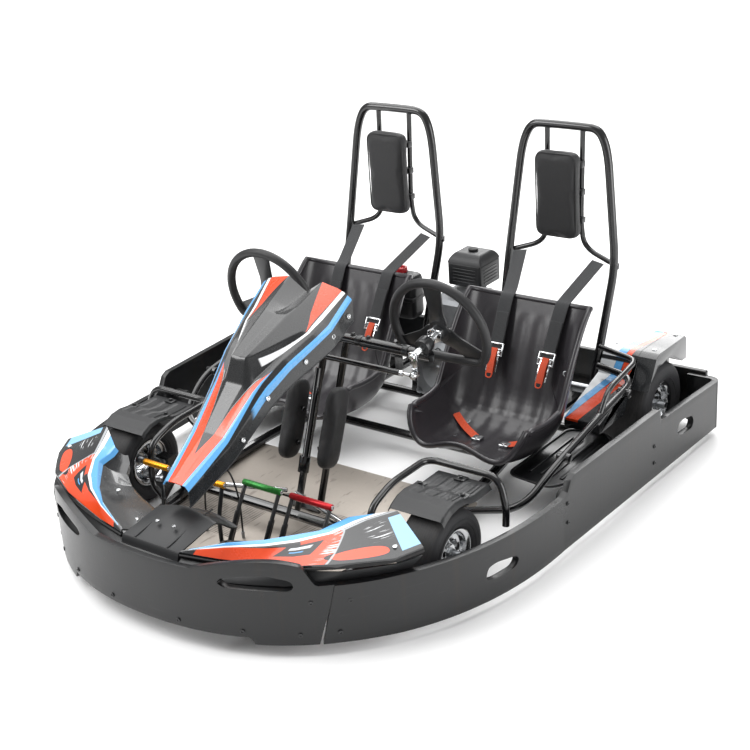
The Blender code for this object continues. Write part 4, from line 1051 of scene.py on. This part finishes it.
def buildHoops():
    half = [(0.168, 0.585, 0.079), (0.19, 0.743, 0.575), (0.15, 0.772, 0.925), (0.118, 0.777, 0.991),
            (0.05, 0.777, 0.993)]
    for word, side in sides:
        middle = side * hoopForm["x"]
        route = [(middle - x, y, z) for x, y, z in half] + [(middle + x, y, z) for x, y, z in reversed(half)]
        parts = [tube(bentRoute(route, 0.065), hoopForm["radius"], 8)]
        for hand in (-1, 1):
            strut = [(middle + hand * 0.062, 0.777, 0.985), (middle + hand * 0.06, 0.765, 0.69),
                     (middle + hand * 0.072, 0.763, 0.61), (middle + hand * 0.186, 0.75, 0.572)]
            parts.append(tube(bentRoute(strut, 0.05), hoopForm["strut"], 6))
            foot = Vector((middle + hand * 0.168, 0.585, 0.079))
            parts.append(bar(foot - zUp * 0.006, foot + Vector((0, 0.005, 0.03)), 0.0165, 28, 0.0015))
            knee = Vector((middle + hand * 0.1885, 0.7425, 0.572))
            parts.append(pin(knee, (0, 0.0015, 0.009), 0.015, 28, 0.001))
        finished(f"roll hoop {word} tubes", parts, "tube", "chassis", [f"roll_hoop_{word}"], 40)
        corners = [(-1, -1), (1, -1), (1, 1), (-1, 1)]
        outline = roundOutline([(middle + a * 0.0765, 0.785 + b * 0.1405) for a, b in corners], 0.032, 8)
        pad = puffed(plate(outline, "y", 0.711, 0.7465, 0.011, 4), 0.006, 3.0)
        outline = roundOutline([(middle + a * 0.07, 0.785 + b * 0.133) for a, b in corners], 0.028, 8)
        pad = finished(f"head pad {word}", pad, "vinyl", "chassis", [f"headrest_{word}"], 60)
        piping = tube([(x, 0.713, z) for x, z in outline], 0.0022, 4, closed=True)
        finished(f"head pad piping {word}", piping, "vinyl")
        clips = []
        for z in (0.7, 0.79, 0.88):
            for hand in (-1, 1):
                clips.append(block((middle + hand * 0.061 - 0.013, 0.748, z - 0.01),
                                   (middle + hand * 0.061 + 0.013, 0.772, z + 0.01), 0.003))
        finished(f"head pad clips {word}", clips, "satin")
    print("hoops and head pads done")


buildHoops()


# belts, buckles and pull tabs
beltForm = {"width": 0.046, "wall": 0.0022}


def strip(route, width, thickness=0.002, across=(1, 0, 0), columns=10, rows=60):
    # a strap through a route of points, its map running across and along
    points = bentRoute(route, 0.035, 6)
    lengths = np.cumsum([0] + [(b - a).length for a, b in zip(points, points[1:])])

    def at(v):
        far = v * lengths[-1]
        k = int(np.searchsorted(lengths, far, side="right")) - 1
        k = min(max(k, 0), len(points) - 2)
        return points[k].lerp(points[k + 1], (far - lengths[k]) / max(lengths[k + 1] - lengths[k], 1e-9))

    def surface(u, v):
        place, ahead, behind = at(v), at(min(v + 0.02, 1)), at(max(v - 0.02, 0))
        run = (ahead - behind).normalized()
        wide = Vector(across)
        wide = (wide - run * wide.dot(run)).normalized()
        return place + wide * (u - 0.5) * width

    sheet = gridSheet(columns, rows, surface)
    modified(sheet, "SOLIDIFY", thickness=thickness, offset=0.0)
    return softened(sheet, thickness * 0.3, 2, 50)


def buildBelts():
    for word, side in sides:
        for handWord, hand in (("inner", -side), ("outer", side)):
            top = Vector((side * 0.324 + hand * 0.14, 0.726, 0.583))
            middle = Vector((side * 0.33 + hand * 0.098, 0.5585, 0.492))
            low = Vector((side * 0.33 + hand * 0.092, 0.472, 0.34))
            belt = strip([top, middle + Vector((0, 0.02, 0.006)), middle, low], beltForm["width"],
                         beltForm["wall"])
            doubled = strip([middle.lerp(low, 0.3) + Vector((0, -0.003, 0)), low + Vector((0, -0.003, 0))],
                            beltForm["width"] * 0.96, beltForm["wall"], rows=24)
            finished(f"shoulder belt {word} {handWord}", [belt, doubled], "belt", "chassis",
                     [f"belt_{word}_{handWord}"], 50)
            run = (low - middle).normalized()
            face = run.cross(xRight).normalized()
            face = face if face.y < 0 else -face
            centre = low + face * 0.005
            buckle = []
            for k in (-1, 0, 1):
                spot = centre + run * 0.019 * k
                buckle.append(pin(spot, (0.027, 0, 0), 0.0034, 16, 0.0008))
            for k in (-1, 1):
                ends = centre + Vector((k * 0.0265, 0, 0))
                buckle.append(pin(ends, run * 0.021, 0.0036, 16, 0.0008))
            tongue = block((-0.019, -0.0015, -0.034), (0.019, 0.0015, 0.034), 0.001)
            tongue.data.transform(placing(centre + run * 0.038, xRight, -face, -run))
            finished(f"buckle {word} {handWord}", buckle + [tongue], "chrome")
            tab = strip([centre + face * 0.003 - run * 0.004, centre + run * 0.03 + face * 0.01,
                         centre + run * 0.078 + face * 0.006], 0.024, 0.0018, rows=30)
            ring = [centre + run * far + Vector((x, 0, 0)) + face * 0.006
                    for far, x in ((0.074, -0.011), (0.092, -0.009), (0.092, 0.009), (0.074, 0.011))]
            loop = tube(bentRoute(ring, 0.008), 0.0022, 4)
            finished(f"pull tab {word} {handWord}", [tab, loop], "orangeWeb")
        for hand in (-1, 1):
            middle = side * seatForm["x"]
            start = seatSurface(hand * 0.62, 0.42, middle, 0.008)
            bend = seatSurface(hand * 0.4, 0.36, middle, 0.016)
            end = seatSurface(hand * 0.16, 0.31, middle, 0.008)
            lap = strip([start, bend, end], 0.024, 0.002, across=(0, 1, 0.3), rows=40)
            finished(f"lap strap {word} {'outer' if hand == side else 'inner'}", lap, "orangeWeb")
            knob = end + Vector((0, -0.006, 0.008))
            clasp = [block(end - Vector((0.016, 0.015, 0.003)), end + Vector((0.016, 0.015, 0.006)), 0.0028),
                     pin(knob, (0, 0, 0.002), 0.008, 24, 0.001)]
            finished(f"lap clasp {word} {'outer' if hand == side else 'inner'}", clasp, "chrome")
    print("belts done")


buildBelts()


# wheels
wheelForm = {
    "front": {"x": 0.56, "y": -0.354, "radius": 0.127, "width": 0.13, "body": "front_wheel_{}"},
    "rear": {"x": 0.605, "y": 0.727, "radius": 0.14, "width": 0.18, "body": "rear_axle"},
}


def aboutAxle(x, out, angle):
    return Vector((x, out * cos(angle), out * sin(angle)))


def buildWheels():
    for end, form in wheelForm.items():
        for word, side in sides:
            body = form["body"].format(word)
            centre = Vector((side * form["x"], form["y"], form["radius"]))
            half, radius, bead = form["width"] / 2, form["radius"], 0.0638
            right = [(half - 0.0185, bead), (half - 0.0185, 0.075), (half - 0.012, bead + 0.0145),
                     (half - 0.0062, bead + 0.0205), (half - 0.0062, bead + 0.0225),
                     (half - 0.003, bead + 0.024), (half - 0.0014, bead + 0.03), (half, bead + 0.037),
                     (half - 0.0005, radius - 0.03), (half - 0.003, radius - 0.018),
                     (half - 0.0075, radius - 0.0095), (half - 0.015, radius - 0.0042),
                     (half - 0.026, radius - 0.0016), (half * 0.45, radius - 0.0004)]
            tyre = spun(right + [(-x, r) for x, r in reversed(right)], centre, (1, 0, 0), 120)
            finished(f"{end} tyre {word} rubber", tyre, tyrePaint(centre, radius), body,
                     [f"{end}_tyre_{word}"], 40)
            edge = half - 0.018
            outer, web = edge + 0.006, edge - 0.03
            profile = [(-outer, 0.0735), (-edge, 0.0735), (-edge, 0.0632), (-edge + 0.012, 0.0625),
                       (-edge + 0.018, 0.0605), (edge - 0.018, 0.0605), (edge - 0.012, 0.0625),
                       (edge, 0.0632), (edge, 0.0735), (outer, 0.0735), (outer, 0.0695), (edge, 0.06),
                       (web + 0.01, 0.057), (web + 0.005, 0.05), (web + 0.003, 0.036),
                       (web + 0.012, 0.028), (web + 0.018, 0.025), (web + 0.018, 0.0125),
                       (web - 0.022, 0.0125), (web - 0.022, 0.026), (web - 0.004, 0.034),
                       (web - 0.004, 0.057), (-edge, 0.0585), (-outer, 0.0695)]
            rim = spun([(side * a, r) for a, r in profile], centre, (1, 0, 0), 96)
            softened(rim, 0.0008, 2, 40)
            finished(f"{end} rim {word} barrel", rim, "chrome", body, [f"{end}_rim_{word}"], 35)
            details = []
            for k in range(4):
                spot = centre + aboutAxle(side * (web + 0.0095), 0.03, pi / 2 * k + 0.4)
                details += hexHead(spot, (side, 0, 0), 0.013, 0.009)
            tip = centre + Vector((side * (web + 0.017), 0, 0))
            details += [bar(tip, tip + Vector((side * 0.01, 0, 0)), 0.0165, 6, 0.001),
                        bar(tip, tip + Vector((side * 0.016, 0, 0)), 0.008, 28, 0.001)]
            valve = centre + Vector((side * (edge - 0.004), 0.052, 0.018))
            details.append(bar(valve, valve + Vector((side * 0.012, -0.004, -0.001)), 0.0032, 16, 0.0006))
            finished(f"{end} hub bolts {word}", details, "steel", body)
            # dark discs on the rim web stand in for its window holes: painted shade where one would see into
            # the rim
            holes = []
            for k in range(5):
                spot = centre + aboutAxle(side * (web + 0.0043), 0.0455, 2 * pi * k / 5 + 0.2)
                holes.append(pin(spot, (side * 0.0011, 0, 0), 0.0078, 28, 0.0004))
            finished(f"{end} rim windows {word}", holes, "dark", body)
    print("wheels done")


buildWheels()


# steering wheels, columns, tower, link and lower steering
columnForm = {"x": 0.312, "y": 0.058, "z": 0.565, "tilt": radians(12), "crank": 0.055, "rim": 0.156,
              "grip": 0.0142, "flat": -0.084}


def columnFrame(side):
    tilt = columnForm["tilt"]
    pivot = Vector((side * columnForm["x"], columnForm["y"], columnForm["z"]))
    return pivot, Vector((0, cos(tilt), sin(tilt))), Vector((0, -sin(tilt), cos(tilt)))


def buildSteering():
    for word, side in sides:
        body = f"steer_{word}"
        pivot, axis, upright = columnFrame(side)
        start = asin(columnForm["flat"] / columnForm["rim"])
        arc = [start + (pi - 2 * start) * k / 72 for k in range(73)]
        ring = [(columnForm["rim"] * cos(a), columnForm["rim"] * sin(a)) for a in arc]
        wide = ring[-1][0]
        ring += [(wide * (1 - 2 * k / 14), columnForm["flat"] - 0.006 * sin(pi * k / 14))
                 for k in range(1, 14)]
        grip = tube([pivot + xRight * u + upright * v for u, v in ring], columnForm["grip"], 8, closed=True)
        modified(grip, "SMOOTH", factor=0.5, iterations=6)
        finished(f"steering grip {word}", grip, "grip", body, [f"steering_wheel_{word}"], 60)
        spokes = []
        for turn in (90, 210, 330):
            angle = radians(turn)
            outline = roundOutline([(-0.032, 0.02), (-0.024, 0.064), (-0.031, 0.15), (0.031, 0.15),
                                    (0.024, 0.064), (0.032, 0.02)], 0.01)
            spoke = plate(outline, "z", -0.0028, 0.0028, 0.0012)
            way = Vector((cos(angle), 0, 0)) + upright * sin(angle)
            spoke.data.transform(placing(pivot, axis.cross(way), way, axis))
            spokes.append(cleaned(spoke))
            for out in (0.072, 0.104):
                spokes += capHead(pivot + way * out + axis * 0.0026, axis, 0.005, 0.002)
        spokes.append(bar(pivot - axis * 0.004, pivot + axis * 0.0042, 0.034, 48, 0.0012))
        finished(f"steering spokes {word}", spokes, "satin", body)
        bolts = [bar(pivot + axis * 0.004, pivot + axis * 0.011, 0.029, 6, 0.0018)]
        bolts += hexHead(pivot + axis * 0.0108, axis, 0.017, 0.007)
        shaft = bar(pivot - axis * 0.15, pivot - axis * 0.0045, 0.01, 32, 0.001)
        boss = bar(pivot - axis * 0.03, pivot - axis * 0.0046, 0.025, 6, 0.0015)
        collar = bar(pivot - axis * 0.062, pivot - axis * 0.05, 0.0165, 32, 0.0012)
        finished(f"column shaft {word}", [shaft, boss, collar], "chrome", body, [f"steering_column_{word}"])
        finished(f"steering wheel bolts {word}", bolts, "chrome", body)
        armRoot, armEnd = pivot - axis * 0.14, pivot - axis * 0.14 - upright * columnForm["crank"]
        outline = roundOutline([(-0.014, 0.014), (0.014, 0.014), (0.01, -0.067), (-0.01, -0.067)], 0.009)
        arm = plate(outline, "z", -0.0035, 0.0035, 0.001)
        arm.data.transform(placing(armRoot, xRight, upright, axis))
        knuckle = bar(armEnd - axis * 0.0035, armEnd + axis * 0.009, 0.0085, 6, 0.0008)
        nut = hexHead(armRoot + axis * 0.003, axis, 0.017, 0.007)
        finished(f"column arm {word}", [cleaned(arm), knuckle] + nut, "chrome", body)
    pivot, axis, upright = columnFrame(1)
    level = pivot - axis * 0.156 - upright * columnForm["crank"]
    start = Vector((-columnForm["x"], level.y, level.z))
    inset = Vector((0.045, 0, 0))
    rod = [bar(start + inset, level - inset, 0.0088, 32, 0.001)]
    finished("steering link rod", rod, "tube", "link", ["steering_link"])
    ends = []
    for spot, way in ((start, 1), (level, -1)):
        inward = xRight * way
        ends += [bar(spot + inward * 0.008, spot + inward * 0.05, 0.0055, 24, 0.0006),
                 bar(spot + inward * 0.036, spot + inward * 0.046, 0.0092, 6, 0.0008),
                 pin(spot, axis * 0.006, 0.0108, 32, 0.0015), pin(spot, axis * 0.0085, 0.0055, 24, 0.0008)]
    finished("steering link ends", ends, "chrome", "link")
    tower = refined("steering_tower", 0)
    bearing = pivot - axis * 0.08
    barZ = bearing.z - 0.029
    finished("steering tower frame", tower, "tube", "chassis", ["steering_tower"], 40)
    trims = []
    for side in (-1, 1):
        centre = Vector((side * columnForm["x"], bearing.y, bearing.z))
        trims.append(spun([(-0.016, 0.0108), (-0.016, 0.0235), (-0.012, 0.025), (0.012, 0.025),
                           (0.016, 0.0235), (0.016, 0.0108)], centre, axis, 48))
        trims.append(block(centre + Vector((-0.034, -0.008, -0.046)), centre + Vector((0.034, 0.002, -0.026)),
                           0.0025))
        for x in (0.06, 0.115):
            trims += hexHead((side * x, bearing.y, barZ + 0.015), (0, 0, 1), 0.01, 0.007)
    finished("column bearing caps", trims, "satin")
    straps = []
    for side in (-1, 1):
        for x in (0.085, 0.25):
            straps.append(pin(Vector((side * x, bearing.y, barZ)), (0.01, 0, 0), 0.0172, 32, 0.001))
    finished("crossbar collars", straps, "satin")
    print("steering done")


buildSteering()


def buildLowerSteering():
    metals = {"steering_shaft": "tube", "track_rod_left": "chrome", "track_rod_right": "chrome",
              "knuckle_left": "steel", "knuckle_right": "steel", "rear_axle": "steel"}
    for node, finish in metals.items():
        body = "centre_shaft" if node == "steering_shaft" else node
        finished(f"{node} metal", refined(node, 0.0008, 2, 40), finish, body, [node], 45)
    for word, side in sides:
        outer, inner = Vector((side * 0.446, -0.432, 0.1265)), Vector((side * 0.017, -0.292, 0.1265))
        way = (inner - outer).normalized()
        nuts = [bar(outer + way * 0.045, outer + way * 0.054, 0.0105, 6, 0.0008),
                bar(outer + way * 0.02, outer + way * 0.045, 0.009, 24, 0.0008)]
        finished(f"track rod nuts {word}", nuts, "steel", f"track_rod_{word}")
        lean = [(-0.255, 0.19), (-0.168, 0.165), (-0.072, 0.4), (-0.158, 0.428)]
        middle = (sum(p[0] for p in lean) / 4, sum(p[1] for p in lean) / 4)
        low, high = sorted((side * 0.056, side * 0.09))
        smaller = [(middle[0] + (y - middle[0]) * 0.95, middle[1] + (z - middle[1]) * 0.96) for y, z in lean]
        pad = puffed(plate(roundOutline(smaller, 0.048, 8), "x", low, high, 0.012, 4), 0.008, 4.0)
        pad = finished(f"knee pad skin {word}", pad, "vinyl", "chassis", [f"knee_pad_{word}"], 60)
        ties = []
        for y, z in ((-0.178, 0.235), (-0.14, 0.33)):
            ties.append(bar((side * 0.036, y - 0.02, z), (side * 0.058, y, z), 0.006, 20, 0.001))
        finished(f"knee pad stays {word}", ties, "tube")
    print("lower steering done")


buildLowerSteering()


# floor tray, pedals, foot bars and cable
def buildFloor():
    outline = [(0.25, -0.7), (0.4, -0.52), (0.43, -0.25), (0.43, 0.05)]
    plan = outline + [(-x, y) for x, y in reversed(outline)]
    tray = plate(roundOutline(plan, 0.02), "z", 0.0405, 0.0435, 0.0008)
    finished("floor tray sheet", tray, "tray", "chassis", ["floor_tray"])
    spots = ((0.27, -0.64), (0.385, -0.5), (0.405, -0.25), (0.405, 0.02), (0.215, 0.03), (0.1, -0.62))
    bolts = heads([(side * x, y, 0.043) for side in (-1, 1) for x, y in spots], (0, 0, 1), 0.0075, 0.003)
    finished("tray screws", bolts, "steel")


pedalForm = {"foot": (-0.56, 0.075), "top": (-0.46, 0.232), "radius": 0.0095, "rest": (-0.52, 0.242)}


def groovedRung(low, high, y, z, inset, lost, count):
    # a round bar with thin raised rings; they start inset from low and share the length less lost
    ring = [(-0.0012, 0.0088), (-0.0012, 0.01), (0.0012, 0.01), (0.0012, 0.0088)]
    places = [low + inset + (high - low - lost) * k / count for k in range(count + 1)]
    rung = bar((low, y, z), (high, y, z), pedalForm["radius"], 32, 0.0015)
    return [rung] + [spun(ring, (x, y, z), (1, 0, 0), 32) for x in places]


def buildPedals():
    (footY, footZ), (topY, topZ), (restY, restZ) = (pedalForm[k] for k in ("foot", "top", "rest"))
    for word, low, high, finish in (("throttle", -0.024, 0.112, "green"), ("brake", 0.146, 0.29, "red")):
        rung = groovedRung(low, high, topY, topZ, 0.02, 0.04, 8)
        finished(f"{word} pedal bar", rung, finish, word, [f"{word}_pedal"])
        legs = []
        for x in (low + 0.007, high - 0.007):
            legs.append(bar((x, topY, topZ), (x, footY, footZ), 0.006, 24, 0.001))
            leg = plate(roundOutline([(footY - 0.012, footZ - 0.006), (footY + 0.014, footZ - 0.008),
                                      (topY - 0.03, topZ - 0.07), (topY - 0.052, topZ - 0.062)], 0.008),
                        "x", x - 0.0022, x + 0.0022, 0.0008)
            legs.append(leg)
        legs.append(bar((low - 0.004, footY, footZ), (high + 0.004, footY, footZ), 0.008, 28, 0.001))
        finished(f"{word} pedal legs", legs, "satin", word)
        caps = []
        for x, way in ((low - 0.0035, -1), (high + 0.0035, 1)):
            caps += hexHead((x, footY, footZ), (way, 0, 0), 0.012, 0.005, False)
        for x, way in ((low, -1), (high, 1)):
            caps += capHead((x, topY, topZ), (way, 0, 0), 0.006, 0.002)
        finished(f"{word} pedal bolts", caps, "chrome", word)
        stands = []
        for x in (low - 0.014, high + 0.014):
            ears = ((-0.016, 0.0437), (0.016, 0.0437), (0.011, 0.086), (-0.011, 0.086))
            outline = roundOutline([(footY + y, z) for y, z in ears], 0.008)
            stands.append(plate(outline, "x", x - 0.002, x + 0.002, 0.0006))
        finished(f"{word} pedal stand", stands, "satin")
        root = Vector((high - 0.03, -0.6, 0.06))
        spring = [root + Vector((0.006 * cos(a), 0.006 * sin(a), 0.03 * a / 56))
                  for a in np.linspace(0, 56, 220)]
        finished(f"{word} pedal spring", tube(spring, 0.0009, 3), "chrome")
    for word, low, high in (("outer", -0.352, -0.258), ("inner", -0.14, -0.042)):
        rung = groovedRung(low, high, restY, restZ, 0.012, 0.034, 6)
        finished(f"foot bar {word} grip", rung, "gold", "chassis", [f"foot_bar_{word}"])
        x = high - 0.01
        leg = [tube(bentRoute([(x, restY, restZ), (x, -0.548, 0.15), (x, -0.548, 0.0441)], 0.03), 0.0062, 6),
               block((x - 0.016, -0.566, 0.0437), (x + 0.016, -0.53, 0.0475), 0.0012)]
        finished(f"foot bar {word} leg", leg, "satin")
        fixings = capHead((high - 0.001, restY, restZ), (1, 0, 0), 0.0065, 0.003)
        fixings += hexHead((x - 0.009, -0.556, 0.0473), (0, 0, 1), 0.009, 0.004)
        finished(f"foot bar {word} bolts", fixings, "chrome")
    corners = [(-0.172, -0.48, 0.048), (-0.168, -0.475, 0.19), (-0.13, -0.47, 0.27),
               (-0.07, -0.465, 0.262), (-0.048, -0.46, 0.17), (-0.05, -0.46, 0.048)]
    cable = tube(bentRoute(corners, 0.08, 12), 0.0028, 5)
    finished("control cable", cable, "cable", "chassis", ["throttle_cable"])
    ferrules = [bar((x, y, 0.0437), (x, y, 0.064), 0.0048, 24, 0.0008)
                for x, y in ((-0.172, -0.48), (-0.05, -0.46))]
    finished("cable ferrules", ferrules, "steel")
    print("floor and pedals done")


buildFloor()
buildPedals()


# engine, air box and tank
engineForm = {"fins": 9, "finLow": 0.285, "finStep": 0.015, "vents": 5, "cap": (-0.252, 0.668, 0.4606),
              "capRadius": 0.0205, "capRibs": 16}


def buildEngine():
    casting = refined("engine_block", 0.006, 3)
    finished("engine casting", casting, "casting", "chassis", ["engine_block"])
    form = engineForm
    fin = roundOutline([(-0.082, 0.572), (0.092, 0.572), (0.092, 0.7345), (-0.082, 0.7345)], 0.02)
    heights = [form["finLow"] + form["finStep"] * k for k in range(form["fins"])]
    finished("cylinder fins", [plate(fin, "z", z, z + 0.003, 0.0008) for z in heights], "casting")
    bolts = []
    for x in (-0.085, 0.0, 0.085):
        for z in (0.12, 0.28):
            bolts += hexHead((x, 0.4995, z), (0, -1, 0), 0.012, 0.006)
    bolts += [bar((0.0, 0.4985, 0.2), (0.0, 0.489, 0.2), 0.062, 60, 0.003),
              bar((0.0, 0.4895, 0.2), (0.0, 0.484, 0.2), 0.03, 40, 0.002)]
    finished("engine cover and bolts", bolts, "steel")
    low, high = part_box("engine_airbox")

    def dome(u, v):
        # rounded lid over the box, bulging in the middle
        x, y = low[0] + (high[0] - low[0]) * u, low[1] + (high[1] - low[1]) * v
        edge = min(u, 1 - u, (v * 0.72), (1 - v) * 0.72) / 0.18
        return x, y, high[2] - 0.034 + 0.032 * sin(pi / 2 * min(edge, 1.0)) ** 0.7

    lid = walled(gridSheet(48, 36, dome), 0.003, (0.02, 0.73, 0.45))
    case = block(low, (high[0], high[1], high[2] - 0.033), 0.006, 3)
    finished("air box case", [case, lid], "moulded", "chassis", ["engine_airbox"], 40)
    vents = []
    for k in range(form["vents"]):
        z = low[2] + 0.014 + 0.011 * k
        top = z + 0.0045
        vents += [block((low[0] + 0.02, low[1] - 0.0018, z), (high[0] - 0.02, low[1] + 0.002, top), 0.0012),
                  block((high[0] - 0.002, low[1] + 0.02, z), (high[0] + 0.0018, high[1] - 0.02, top), 0.0012)]
    finished("air box vents", vents, "satin")
    knob = spun([(0, 0.0005), (0, 0.014), (0.003, 0.016), (0.008, 0.016), (0.0095, 0.013), (0.0095, 0.0005)],
                ((low[0] + high[0]) / 2, (low[1] + high[1]) / 2, high[2] - 0.003), (0, 0, 1), 40)
    finished("air box knob", knob, "rubber")
    tank = refined("fuel_tank", 0.004, 3, 20)
    band = block((-0.3425, 0.626, 0.37), (-0.1825, 0.714, 0.384), 0.003)
    finished("fuel tank body", [tank, band], "moulded", "chassis", ["fuel_tank"], 50)
    cap = Vector(form["cap"])
    grips = [bar(cap, cap + zUp * 0.0174, form["capRadius"], 40, 0.0015)]
    for k in range(form["capRibs"]):
        angle = 2 * pi * k / form["capRibs"]
        spot = cap + Vector((0.0203 * cos(angle), 0.0203 * sin(angle), 0.0009))
        grips.append(bar(spot, spot + zUp * 0.016, 0.0018, 12))
    grips.append(block(cap + Vector((-0.017, -0.004, 0.0164)), cap + Vector((0.017, 0.004, 0.0244)), 0.002))
    finished("fuel cap knob", grips, "capRed", "fuel_cap", ["fuel_cap"])
    print("engine done")


buildEngine()


# the welded frame keeps its CAD shape and takes the tube finish
def dressFrame():
    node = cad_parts["frame"]
    node.data.materials.clear()
    node.data.materials.append(finishes["tube"])
    sleeves = []
    for side in (-1, 1):
        for y, reach in ((0.3, 0.368), (0.845, 0.34)):
            sleeves.append(bar((side * (reach - 0.03), y, 0.06), (side * (reach + 0.004), y, 0.06), 0.0165,
                               28, 0.0015))
    finished("frame sleeves", sleeves, "tube")


dressFrame()


# floor, light and camera
viewForm = {"azimuth": 38.38, "elevation": 23.44, "roll": 4.34, "distance": 4.5,
            "target": (-0.0694, 0.1141, 0.3108), "lens": 69.7, "shiftX": 0.0328, "shiftY": 0.0068}
lightForm = {
    "air": 0.42, "sun": 3.0, "sunSpread": radians(70),
    "sunTurn": (radians(-12), radians(-14), 0),
    "areas": (("key", (-2.6, -2.6, 3.4), 2.4, 120), ("side", (4.2, 0.6, 1.6), 2.6, 90),
              ("back", (-1.0, 3.8, 2.6), 2.4, 90)),
}


def buildStage():
    deselectAll()
    bpy.ops.mesh.primitive_plane_add(size=160, location=(0, 0, 0))
    floor = bpy.context.object
    floor.name = "studio floor"
    paint = Paint("studio floor", "F4F4F4", 0.9, Specular_IOR_Level=0.1)
    paint.put("Base Color", paint.mix(paint.noise(0.6), "F2F2F2", "F6F6F6"))
    floor.data.materials.append(paint.material)
    world = bpy.data.worlds.new("studio air")
    bpy.context.scene.world = world
    world.use_nodes = True
    air = world.node_tree.nodes["Background"].inputs
    air[0].default_value, air[1].default_value = (1, 1, 1, 1), lightForm["air"]
    bpy.ops.object.light_add(type="SUN", location=(0, 0, 5), rotation=lightForm["sunTurn"])
    sun = bpy.context.object
    sun.name = "overhead light"
    sun.data.energy, sun.data.angle = lightForm["sun"], lightForm["sunSpread"]
    for name, place, size, power in lightForm["areas"]:
        bpy.ops.object.light_add(type="AREA", location=place)
        light = bpy.context.object
        light.name = name + " light"
        light.data.size = size
        light.data.energy = power
        light.rotation_euler = (Vector((0, 0, 0.3)) - Vector(place)).to_track_quat("-Z", "Y").to_euler()
    azimuth, elevation, roll = (radians(viewForm[k]) for k in ("azimuth", "elevation", "roll"))
    back = Vector((sin(azimuth) * cos(elevation), -cos(azimuth) * cos(elevation),
                   sin(elevation)))
    right = Vector((cos(azimuth), sin(azimuth), 0))
    up = back.cross(right)
    turned = (cos(roll) * right - sin(roll) * up, sin(roll) * right + cos(roll) * up,
              back)
    bpy.ops.object.camera_add(location=Vector(viewForm["target"]) + back * viewForm["distance"])
    camera = bpy.context.object
    camera.rotation_euler = Matrix(turned).transposed().to_euler()
    camera.data.lens = viewForm["lens"]
    camera.data.shift_x = viewForm["shiftX"]
    camera.data.shift_y = viewForm["shiftY"]
    bpy.context.scene.camera = camera
    bpy.context.scene.view_settings.view_transform = "Standard"
    print("stage done")


buildStage()
